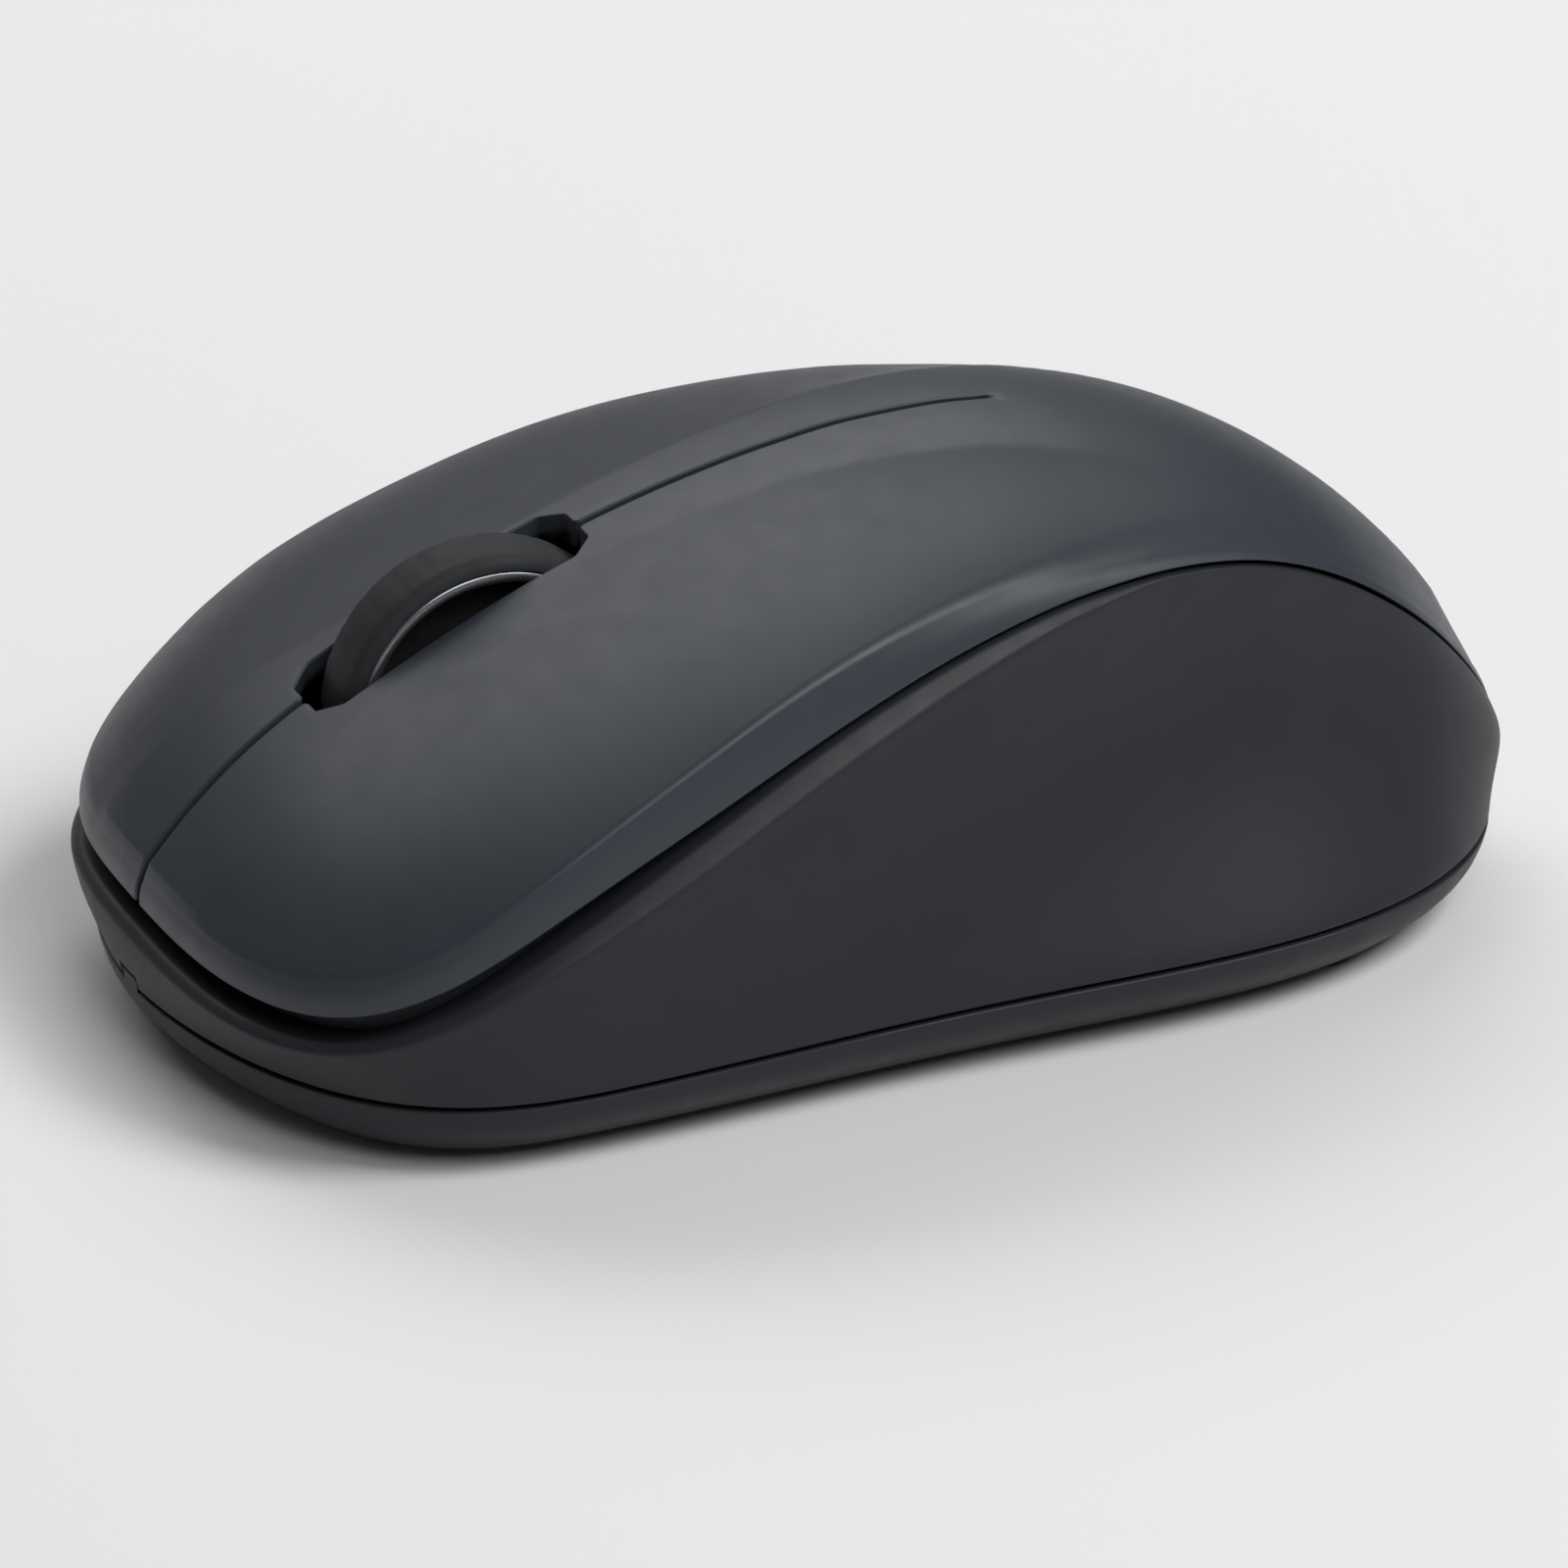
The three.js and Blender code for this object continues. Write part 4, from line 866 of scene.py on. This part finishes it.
def flared(outline, cx, cy, z1, flare=0.35, top=None):
    """A cutter with a chamfered mouth on the underside."""
    o = np.array(outline, float)
    rows = [(1.0 + flare * 1.0, FLOOR_Z - 1.0), (flare, FLOOR_Z), (0.0, FLOOR_Z + flare), (0.0, z1)]
    v, ids = [], []
    # the flare keeps the outline's shape: it grows by the same distance on every side
    prev, nxt = np.roll(o, 1, 0), np.roll(o, -1, 0)
    a, b = o - prev, nxt - o
    a /= np.maximum(np.linalg.norm(a, axis=1), 1e-9)[:, None]
    b /= np.maximum(np.linalg.norm(b, axis=1), 1e-9)[:, None]
    na, nb = np.stack([a[:, 1], -a[:, 0]], 1), np.stack([b[:, 1], -b[:, 0]], 1)
    m = na + nb
    m /= np.maximum(np.sum(m * na, 1), 0.3)[:, None]
    for grow, z in rows:
        p = o + grow * m
        ids.append(list(range(len(v), len(v) + len(o))))
        v += [(x, y, z) for x, y in p]
    f = strip(ids, closed=True)
    f.append(tuple(reversed(ids[0])))
    f.append(tuple(ids[-1]))
    return v, f


rib = lambda x0, x1, y0, y1, z1: prism([(x0, y0), (x1, y0), (x1, y1), (x0, y1)], FLOOR_IN - 0.3, z1, 0, 0.2, 2)
adds = [
    [rib(8.3, 9.3, -12.0, 42.6, 8.2), rib(-9.3, -8.3, -12.0, 42.6, 8.2)],
    [rib(-9.3, 9.3, -12.7, -11.7, 6.4)],
    [prism(round_rect(RECEIVER[0], RECEIVER[1], 8.0, 16.8, 0.8), FLOOR_IN - 0.3, 8.6, 0, 0.2, 2)],
    [prism(disc(x, y, 2.2, 28), FLOOR_IN - 0.3, BOARD_Z0 - 0.3, 0, 0.2, 2) for x, y in BOARD_SCREWS]
    + [prism(disc(x, y, 3.1, 32), FLOOR_IN - 0.3, 4.5, 0, 0.2, 2) for x, y in CASE_SCREWS],
]
for k, parts in enumerate(adds):
    base = boolean(base, group_solid("add%d" % k, parts), "UNION", angle=32)
# the nose tab, its face flush with the base and the side shell
skin_rows = [base_point(t, 0.02) for t in (0.3, 0.5, 0.7, 0.85, 0.95, 1.0)] + [wall(t, 0.02) for t in (0.0, 0.08, 0.16, 0.24, 0.32)]
skin_half = np.transpose(np.array(skin_rows), (1, 0, 2))
skin_full = np.concatenate([skin_half, skin_half[-2:0:-1] * [-1, 1, 1]])
cols, rws = skin_full.shape[:2]
ids = np.arange(cols * rws).reshape(cols, rws)
f = [(ids[i, k], ids[(i + 1) % cols, k], ids[(i + 1) % cols, k + 1], ids[i, k + 1]) for i in range(cols) for k in range(rws - 1)]
f += [tuple(ids[::-1, 0]), tuple(ids[:, -1])]
nose = solid("nose_tab", skin_full.reshape(-1, 3), f, angle=32)
t0, t1 = -TAB_HALF, TAB_HALF
nose = boolean(nose, group_solid("tab_box", [prism([(t0, -54), (t1, -54), (t1, -47.6), (t0, -47.6)], 2.8, TAB_TOP, 0, 0.15, 2)]), "INTERSECT", angle=32)
base = boolean(base, nose, "UNION", angle=32)
dy0, dy1 = DOOR_Y0 - 0.3, 40.5
cuts = [
    flared([(-8.3, dy0), (8.3, dy0), (8.3, dy1), (-8.3, dy1)], 0, 15, FLOOR_IN + 0.5, 0.25),
    flared(round_rect(RECEIVER[0], RECEIVER[1], 6.4, 15.0, 0.8), RECEIVER[0], RECEIVER[1], 12),
    flared([(POWER[0] - 2.3, POWER[1] - 4.1), (POWER[0] + 2.3, POWER[1] - 4.1), (POWER[0] + 2.3, POWER[1] + 4.1), (POWER[0] - 2.3, POWER[1] + 4.1)], POWER[0], POWER[1], FLOOR_IN + 1, 0.25),
    flared(round_rect(0, SENSOR_Y, 6.4, 9.0, 2.0), 0, SENSOR_Y, 4.0, 0.5),
]
cuts += [prism(disc(x, y, 1.05, 20), 3.2, 12) for x, y in BOARD_SCREWS]
base = boolean(base, group_solid("cut0", cuts), angle=32)
cuts = [flared(disc(x, y, 2.3, 32), x, y, 2.9, 0.3) for x, y in CASE_SCREWS]
base = boolean(base, group_solid("cut1", cuts), angle=32)
base = boolean(base, group_solid("cut2", [prism(disc(x, y, 1.15, 24), 2.5, 12) for x, y in CASE_SCREWS]), angle=32)


# ------------------------------------------------------------------ battery door and feet
def door_solid():
    r = 0.75
    prof = [(DOOR_Y0, FLOOR_Z)]
    prof.append((HINGE_Y, FLOOR_Z))
    for k in range(1, 15):
        a = -math.pi / 2 + math.pi * k / 14
        prof.append((HINGE_Y + r * math.cos(a), HINGE_Z + r * math.sin(a)))
    prof.append((DOOR_Y0, FLOOR_Z + FLOOR_T))
    # (y, z) profile, extruded along x with rounded long edges
    o = np.array(prof)
    prev, nxt = np.roll(o, 1, 0), np.roll(o, -1, 0)
    a, b = o - prev, nxt - o
    a /= np.maximum(np.linalg.norm(a, axis=1), 1e-9)[:, None]
    b /= np.maximum(np.linalg.norm(b, axis=1), 1e-9)[:, None]
    na, nb = np.stack([a[:, 1], -a[:, 0]], 1), np.stack([b[:, 1], -b[:, 0]], 1)
    m = na + nb
    m /= np.maximum(np.sum(m * na, 1), 0.3)[:, None]
    rows, h, e = [], DOOR_HALF, 0.22
    for k in range(5):
        t = math.pi / 2 * k / 4
        rows.append((-h + e * (1 - math.sin(t)), e * (1 - math.cos(t))))
    rows = [(x, ins) for x, ins in [(-h, e), (-h + 0.06, 0.09), (-h + e, 0.0), (h - e, 0.0), (h - 0.06, 0.09), (h, e)]]
    v, ids = [], []
    for x, ins in rows:
        p = o - ins * m
        ids.append(list(range(len(v), len(v) + len(o))))
        v += [(x, y, z) for y, z in p]
    f = strip(ids, closed=True)
    f.append(tuple(reversed(ids[0])))
    f.append(tuple(ids[-1]))
    return v, f


v, f = door_solid()
door = solid("battery_door_fine", v, f, angle=32)
door = boolean(door, group_solid("latch", [prism([(-4, DOOR_Y0 + 0.2), (4, DOOR_Y0 + 0.2), (4, DOOR_Y0 + 1.1), (-4, DOOR_Y0 + 1.1)], FLOOR_Z + FLOOR_T - 0.3, FLOOR_Z + FLOOR_T + 2.2, 0, 0.25)]), "UNION", angle=32)
grips = []
for k in range(3):
    y = DOOR_Y0 + 3.55 + 1.5 * k
    grips.append(flared(round_rect(0, y, 7.0, 0.7, 0.34, 5), 0, y, FLOOR_Z + 0.35, 0.12))
door = boolean(door, group_solid("grips", grips), angle=32)


def foot(name, outline):
    v, f = prism(outline, 0.0, 0.75, 0.22, 0.05, 4)
    return solid(name, v, f, angle=50)


arc = fine(FLOOR_EDGE, 97)
arc = arc[(arc[:, 0] <= 14.85) & (arc[:, 1] < -40.0)]
outer = [(p[0], p[1] + 1.6) for p in arc]
inner = [(p[0] * 0.93, p[1] + 6.6) for p in arc]


def soften(points, r, n=4):
    """Rounds the sharp corners of a closed outline."""
    out, k = [], len(points)
    for i in range(k):
        a, b, c = (np.array(points[(i + d) % k], float) for d in (-1, 0, 1))
        u, w = a - b, c - b
        lu, lw = np.linalg.norm(u), np.linalg.norm(w)
        cosine = u.dot(w) / (lu * lw)
        if cosine > -0.7:
            s, t = b + u / lu * min(r, lu * 0.9), b + w / lw * min(r, lw * 0.9)
            for j in range(n + 1):
                q = j / n
                out.append(tuple((1 - q) ** 2 * s + 2 * q * (1 - q) * b + q * q * t))
        else:
            out.append(tuple(b))
    return out


loop = [(-x, y) for x, y in outer[:0:-1]] + outer + inner[::-1] + [(-x, y) for x, y in inner[1:]]
foot_front = foot("front_foot_fine", soften(loop, 0.95))
foot_left = foot("rear_foot_left_fine", round_rect(14.8, 25.2, 7, 15, 3, 10))
foot_right = foot("rear_foot_right_fine", round_rect(-14.8, 25.2, 7, 15, 3, 10))

# ------------------------------------------------------------------ wheel
SEG = 192
FLUTES = 32


def tyre_profile():
    h, r, c = TYRE_HALF, TYRE_R, 1.05
    out = [(-h, HUB_R + 0.32), (-h, r - c)]
    for k in range(1, 9):
        t = math.pi / 2 * k / 9
        out.append((-h + c * (1 - math.cos(t)), r - 0.1 - c + c * math.sin(t)))
    for s in np.linspace(-h + c, h - c, 7):
        out.append((s, r - 0.1 * (s / (h - c)) ** 2))
    for k in range(8, 0, -1):
        t = math.pi / 2 * k / 9
        out.append((h - c * (1 - math.cos(t)), r - 0.1 - c + c * math.sin(t)))
    out += [(h, r - c), (h, HUB_R + 0.32)]
    return out


def flute(s, r, a):
    if r < TYRE_R - 0.9:
        return 0.0
    c = math.cos(FLUTES * a)
    return -0.055 * max(0.0, (c - 0.55) / 0.45) ** 1.5 * min(1.0, (r - (TYRE_R - 0.9)) / 0.7)


v, f = lathe(tyre_profile(), SEG, about_x(WHEEL_Y, WHEEL_Z), flute, closed=True)
tyre = solid("wheel_tyre_fine", v, f, angle=60)
h = TYRE_HALF - 0.1
hub_profile = [(-h, 2.6), (-h + 0.15, 2.8), (-1.15, 3.15), (-0.95, 3.4), (-0.95, HUB_R - 1.5), (-1.1, HUB_R - 1.1), (-2.25, HUB_R - 0.55), (-2.3, HUB_R), (2.3, HUB_R), (2.25, HUB_R - 0.55), (1.1, HUB_R - 1.1), (0.95, HUB_R - 1.5), (0.95, 3.4), (1.15, 3.15), (h - 0.15, 2.8), (h, 2.6)]
v, f = lathe(hub_profile, 128, about_x(WHEEL_Y, WHEEL_Z))
hub = solid("wheel_hub_fine", v, f, angle=40)
v, f = lathe([(h - 0.4, 1.2), (10.85, 1.2), (11.0, 1.05)], 40, about_x(WHEEL_Y, WHEEL_Z))
stub_a = solid("wheel_stub_round", v, f, angle=40)
v, f = lathe([(-10.4, 1.05), (-10.25, 1.2), (-h + 0.4, 1.2)], 6, about_x(WHEEL_Y, WHEEL_Z))
stub_b = solid("wheel_stub_hex", v, f, angle=30)
rings = []
for side_x, name in ((1, "wheel_ring_left"), (-1, "wheel_ring_right")):
    prof = []
    for k in range(16):
        t = 2 * math.pi * k / 16
        prof.append((side_x * (h - 0.22 + 0.30 * math.cos(t)), HUB_R - 0.16 + 0.44 * math.sin(t)))
    v, f = lathe(prof, SEG, about_x(WHEEL_Y, WHEEL_Z), closed=True)
    rings.append(solid(name, v, f, angle=60))

# ------------------------------------------------------------------ battery cell
R, Y0, Y1 = CELL_R, CELL_Y0, CELL_Y1
v, f = lathe([(Y0 + 0.25, 5.9), (Y0 + 0.05, 6.2), (Y0, 6.7), (Y0 + 0.1, 7.05), (Y0 + 0.4, R), (Y1 - 1.9, R), (Y1 - 1.55, R - 0.1), (Y1 - 1.3, R - 0.4), (Y1 - 1.2, R - 0.9), (Y1 - 1.25, 5.2)], 96, about_y(0, CELL_Z))
cell = solid("battery_cell_fine", v, f, angle=40)
v, f = lathe([(Y1 - 1.4, 5.6), (Y1 - 1.05, 5.4), (Y1 - 1.0, 3.0), (Y1 - 0.9, 2.75), (Y1 - 0.25, 2.6), (Y1, 2.35)], 64, about_y(0, CELL_Z))
cell_top = solid("battery_cell_button", v, f, angle=35)
v, f = lathe([(Y0 + 0.0, 5.6), (Y0 + 0.12, 5.95), (Y0 + 0.5, 6.0)], 64, about_y(0, CELL_Z))
cell_end = solid("battery_cell_end", v, f, angle=35)

# ------------------------------------------------------------------ screws, receiver, slider
screws = []
for k, (x, y) in enumerate(CASE_SCREWS):
    prof = [(1.3, 1.75), (1.42, 1.93), (1.6, 2.0), (2.4, 2.0), (2.6, 1.8), (2.6, 0.85), (10.2, 0.85), (10.5, 0.5)]
    v, f = lathe(prof, 40, about_z(x, y))
    s = solid("case_screw_fine_%d" % k, v, f, angle=35)
    cross = [prism([(x - 1.2, y - 0.22), (x + 1.2, y - 0.22), (x + 1.2, y + 0.22), (x - 1.2, y + 0.22)], 0.5, 1.9)]
    s = boolean(s, group_solid("slot_a", cross), angle=35)
    cross = [prism([(x - 0.22, y - 1.2), (x + 0.22, y - 1.2), (x + 0.22, y + 1.2), (x - 0.22, y + 1.2)], 0.5, 1.91)]
    s = boolean(s, group_solid("slot_b", cross), angle=35)
    screws.append(s)

rx, ry = RECEIVER
v, f = prism(round_rect(rx, ry, 5.8, 14.4, 1.2), 0.95, 7.0, 0.3, 0.3)
cap = solid("receiver_cap_fine", v, f, angle=35)
cap = boolean(cap, group_solid("tongue", [prism(round_rect(rx - 0.7, ry, 1.6, 10.4, 0.15, 3), 6.6, 18.2, 0, 0.2)]), "UNION", angle=35)
cap = boolean(cap, group_solid("grip", [prism(round_rect(rx, ry, 8.0, 6.4, 0.3, 4), 0.0, 1.35)]), angle=35)

px, py = POWER[0], POWER[1] - 1.25
v, f = prism(round_rect(px, py, 3.9, 5.0, 0.25, 4), 0.95, 2.1, 0.15, 0.1)
slider = solid("power_slider_fine", v, f, angle=35)
slider = boolean(slider, group_solid("stem", [prism(round_rect(px, py, 1.5, 2.2, 0.1, 3), 1.8, 4.6)]), "UNION", angle=35)
slider = boolean(slider, group_solid("ridges", [prism(round_rect(px, py + d, 4.8, 0.42, 0.15, 3), 0.0, 1.18) for d in (-1.2, 0, 1.2)]), angle=35)

# ribs under the keys that press the switches
ribs = {}
for word, sx in (("left", 1), ("right", -1)):
    x = sx * 13.5
    zt = float(top_z(x, -38.0)) - 1.35
    v, f = prism(round_rect(x, -38.0, 2.2, 3.0, 0.2, 3), BOARD_Z1 + 0.3 + 6.5 + 0.9 + SEAM, zt, 0.15, 0)
    ribs[word] = solid("%s_key_rib" % word, v, f)


# ------------------------------------------------------------------ materials
def material(name, color, rough, metallic=0.0, spec=0.5, grain=0.0, grain_scale=5200.0, mottle=0.0, rough_var=0.0, coat=0.0, transmission=0.0, ior=1.5, wear=0.0, streak=None):
    """Moulded or metal finish. Grain is the bump height in mm, mottle the colour variation."""
    m = bpy.data.materials.new(name)
    m.use_nodes = True
    nt = m.node_tree
    nt.nodes.clear()
    out = nt.nodes.new("ShaderNodeOutputMaterial")
    b = nt.nodes.new("ShaderNodeBsdfPrincipled")
    nt.links.new(b.outputs[0], out.inputs[0])
    b.inputs["Base Color"].default_value = (*color, 1)
    b.inputs["Roughness"].default_value = rough
    b.inputs["Metallic"].default_value = metallic
    b.inputs["Specular IOR Level"].default_value = spec
    b.inputs["IOR"].default_value = ior
    if coat:
        b.inputs["Coat Weight"].default_value = coat
        b.inputs["Coat Roughness"].default_value = 0.08
    if transmission:
        b.inputs["Transmission Weight"].default_value = transmission
    tc = nt.nodes.new("ShaderNodeTexCoord")
    pos = tc.outputs["Object"]

    def noise(scale, detail, rough_=0.5, vec=pos):
        n = nt.nodes.new("ShaderNodeTexNoise")
        n.inputs["Scale"].default_value = scale
        n.inputs["Detail"].default_value = detail
        n.inputs["Roughness"].default_value = rough_
        nt.links.new(vec, n.inputs["Vector"])
        return n.outputs["Fac"]

    def ramp(fac, lo, hi, x0=0.3, x1=0.7):
        r = nt.nodes.new("ShaderNodeMapRange")
        r.inputs["From Min"].default_value, r.inputs["From Max"].default_value = x0, x1
        r.inputs["To Min"].default_value, r.inputs["To Max"].default_value = lo, hi
        nt.links.new(fac, r.inputs["Value"])
        return r.outputs["Result"]

    fine_noise = noise(grain_scale, 2.5, 0.6)
    if mottle:
        slow = noise(140.0, 3.0)
        mix = nt.nodes.new("ShaderNodeMix")
        mix.data_type = "RGBA"
        mix.inputs["A"].default_value = (*[c * (1 - mottle) for c in color], 1)
        mix.inputs["B"].default_value = (*[c * (1 + mottle) for c in color], 1)
        add = nt.nodes.new("ShaderNodeMath")
        add.operation = "MULTIPLY_ADD"
        add.inputs[1].default_value = 0.45
        nt.links.new(ramp(slow, 0, 1), add.inputs[0])
        nt.links.new(ramp(fine_noise, 0.0, 0.55), add.inputs[2])
        nt.links.new(add.outputs[0], mix.inputs["Factor"])
        nt.links.new(mix.outputs["Result"], b.inputs["Base Color"])
    if rough_var:
        nt.links.new(ramp(noise(420.0, 4.0), rough - rough_var, rough + rough_var), b.inputs["Roughness"])
    if grain:
        bump = nt.nodes.new("ShaderNodeBump")
        bump.inputs["Strength"].default_value = 1.0
        bump.inputs["Distance"].default_value = grain * MM
        nt.links.new(fine_noise, bump.inputs["Height"])
        nt.links.new(bump.outputs[0], b.inputs["Normal"])
    m.diffuse_color = (*color, 1)
    return m


M = {
    "cover_plastic": material("cover_plastic", (0.0350, 0.0415, 0.0530), 0.44, grain=0.006, grain_scale=4200, mottle=0.07, rough_var=0.03, spec=0.42),
    "side_plastic": material("side_plastic", (0.0175, 0.0202, 0.0250), 0.52, grain=0.008, grain_scale=4200, mottle=0.07, rough_var=0.03, spec=0.35),
    "base_plastic": material("base_plastic", (0.0235, 0.0262, 0.0312), 0.5, grain=0.012, grain_scale=3000, mottle=0.08, rough_var=0.04, spec=0.25),
    "foot_ptfe": material("foot_ptfe", (0.014, 0.014, 0.015), 0.33, grain=0.002, mottle=0.08, rough_var=0.05),
    "screw_steel": material("screw_steel", (0.50, 0.50, 0.52), 0.34, metallic=1.0, grain=0.002, mottle=0.08, rough_var=0.1),
    "board_laminate": material("board_laminate", (0.010, 0.050, 0.030), 0.35, mottle=0.18, rough_var=0.08, grain=0.004, coat=0.3),
    "black_moulding": material("black_moulding", (0.013, 0.013, 0.015), 0.4, mottle=0.12, rough_var=0.05, grain=0.004),
    "ivory_moulding": material("ivory_moulding", (0.60, 0.55, 0.43), 0.42, mottle=0.05, rough_var=0.05, grain=0.003),
    "plunger_red": material("plunger_red", (0.22, 0.04, 0.03), 0.42, mottle=0.1, rough_var=0.05, grain=0.003),
    "wheel_rubber": material("wheel_rubber", (0.020, 0.022, 0.025), 0.68, mottle=0.12, rough_var=0.05, grain=0.012, grain_scale=3600, spec=0.35),
    "hub_gloss": material("hub_gloss", (0.30, 0.31, 0.33), 0.30, metallic=0.9, mottle=0.05, rough_var=0.04, coat=0.5),
    "lens_clear": material("lens_clear", (0.88, 0.92, 0.95), 0.06, transmission=1.0, mottle=0.02, rough_var=0.02, ior=1.49),
    "can_metal": material("can_metal", (0.60, 0.61, 0.63), 0.32, metallic=1.0, mottle=0.06, rough_var=0.1, grain=0.002),
    "capacitor_sleeve": material("capacitor_sleeve", (0.02, 0.03, 0.055), 0.3, mottle=0.1, rough_var=0.05, coat=0.4),
    "slider_plastic": material("slider_plastic", (0.20, 0.21, 0.22), 0.45, mottle=0.06, rough_var=0.05, grain=0.004),
    "cell_sleeve": material("cell_sleeve", (0.030, 0.034, 0.040), 0.26, mottle=0.08, rough_var=0.05, coat=0.5),
    "contact_nickel": material("contact_nickel", (0.66, 0.64, 0.60), 0.24, metallic=1.0, mottle=0.06, rough_var=0.08, grain=0.001),
    "lead_insulation": material("lead_insulation", (0.30, 0.015, 0.012), 0.45, mottle=0.08, rough_var=0.05, grain=0.003),
    "receiver_plastic": material("receiver_plastic", (0.017, 0.018, 0.020), 0.42, mottle=0.1, rough_var=0.05, grain=0.005),
    "plug_steel": material("plug_steel", (0.60, 0.60, 0.62), 0.22, metallic=1.0, mottle=0.05, rough_var=0.08, grain=0.001),
}
hub_black = material("hub_black", (0.010, 0.010, 0.011), 0.5, mottle=0.1, rough_var=0.05, grain=0.004)


def dress(o, slot, mat=None):
    o.data.materials.clear()
    o.data.materials.append(mat or M[slot])
    return o


def place(o, body, slot, nodes=(), mat=None):
    dress(o, slot, mat)
    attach(o, body)
    for n in nodes:
        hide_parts(n)
    return o


place(cover_palm, "root", "cover_plastic", ["palm_cover"])
for o, body in ((cover_left, "left_key"), (cover_right, "right_key")):
    dress(o, "cover_plastic")
    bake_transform(o)
    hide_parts(body)
place(ribs["left"], "left_key", "cover_plastic")
place(ribs["right"], "right_key", "cover_plastic")
place(side, "root", "side_plastic", ["side_shell"])
for o in posts:
    place(o, "root", "side_plastic")
place(base, "root", "base_plastic", ["base_shell"])
place(door, "battery_door", "base_plastic", ["battery_door"])
place(foot_front, "root", "foot_ptfe", ["front_foot"])
place(foot_left, "root", "foot_ptfe", ["rear_foot_left"])
place(foot_right, "root", "foot_ptfe", ["rear_foot_right"])
place(tyre, "wheel", "wheel_rubber", ["wheel_tyre"])
place(hub, "wheel", "hub_gloss", ["wheel_hub"], hub_black)
place(stub_a, "wheel", "hub_gloss", mat=hub_black)
place(stub_b, "wheel", "hub_gloss", mat=hub_black)
for o in rings:
    place(o, "wheel", "hub_gloss")
place(cell, "root", "cell_sleeve", ["battery_cell"])
place(cell_top, "root", "contact_nickel")
place(cell_end, "root", "contact_nickel")
for o, n in zip(screws, ("case_screw_left", "case_screw_right", "case_screw_front")):
    place(o, "root", "screw_steel", [n])
place(cap, "receiver", "receiver_plastic", ["receiver_cap"])
place(slider, "power_slider", "slider_plastic", ["power_slider"])

slots = {s["node"]: s["material_slot"] for s in frame["record"]["subparts"]}
for n, o in frame["nodes"].items():
    if not o.hide_render:
        o.data.materials.clear()
        o.data.materials.append(M[slots[n]])

# ------------------------------------------------------------------ floor, light, camera
scene = bpy.context.scene
floor_me = bpy.data.meshes.new("floor")
floor_me.from_pydata([(-6, -6, 0), (6, -6, 0), (6, 6, 0), (-6, 6, 0)], [], [(0, 1, 2, 3)])
floor = link(bpy.data.objects.new("floor", floor_me))
fm = bpy.data.materials.new("floor_paper")
fm.use_nodes = True
fb = fm.node_tree.nodes["Principled BSDF"]
fb.inputs["Base Color"].default_value = (0.92, 0.92, 0.92, 1)
fb.inputs["Roughness"].default_value = 0.9
fb.inputs["Specular IOR Level"].default_value = 0.1
floor_me.materials.append(fm)

world = bpy.data.worlds.new("studio")
scene.world = world
world.use_nodes = True
bg = world.node_tree.nodes["Background"]
bg.inputs[0].default_value = (1.0, 1.0, 1.0, 1)
bg.inputs[1].default_value = WORLD


def area(name, loc, target, w, h, power, color=(1, 1, 1)):
    ld = bpy.data.lights.new(name, "AREA")
    ld.shape, ld.size, ld.size_y, ld.energy, ld.color = "RECTANGLE", w, h, power, color
    o = link(bpy.data.objects.new(name, ld))
    o.location = loc
    o.rotation_euler = (Vector(target) - Vector(loc)).to_track_quat("-Z", "Y").to_euler()
    return o


for spec in LIGHTS:
    area(*spec)

az, el, roll = math.radians(CAM_AZ), math.radians(CAM_EL), math.radians(CAM_ROLL)
back = Vector((math.sin(az) * math.cos(el), -math.cos(az) * math.cos(el), math.sin(el)))
right = Vector((math.cos(az), math.sin(az), 0))
up = Vector((-math.sin(az) * math.sin(el), math.cos(az) * math.sin(el), math.cos(el)))
r2 = right * math.cos(roll) + up * math.sin(roll)
u2 = up * math.cos(roll) - right * math.sin(roll)
cam_data = bpy.data.cameras.new("camera")
cam_data.sensor_width = 36.0
cam_data.sensor_fit = "HORIZONTAL"
cam_data.lens = 36.0 * CAM_F / 1600.0
cam_data.clip_start, cam_data.clip_end = 0.01, 50.0
cam = link(bpy.data.objects.new("camera", cam_data))
eye = Vector((0, Y_SHIFT, 17.0)) + back * CAM_D - r2 * CAM_TX - u2 * CAM_TY
rot = Matrix((r2, u2, back)).transposed().to_4x4()
cam.matrix_world = Matrix.Translation(eye * MM) @ rot
scene.camera = cam
scene.view_settings.view_transform = "Standard"
scene.view_settings.look = "None"
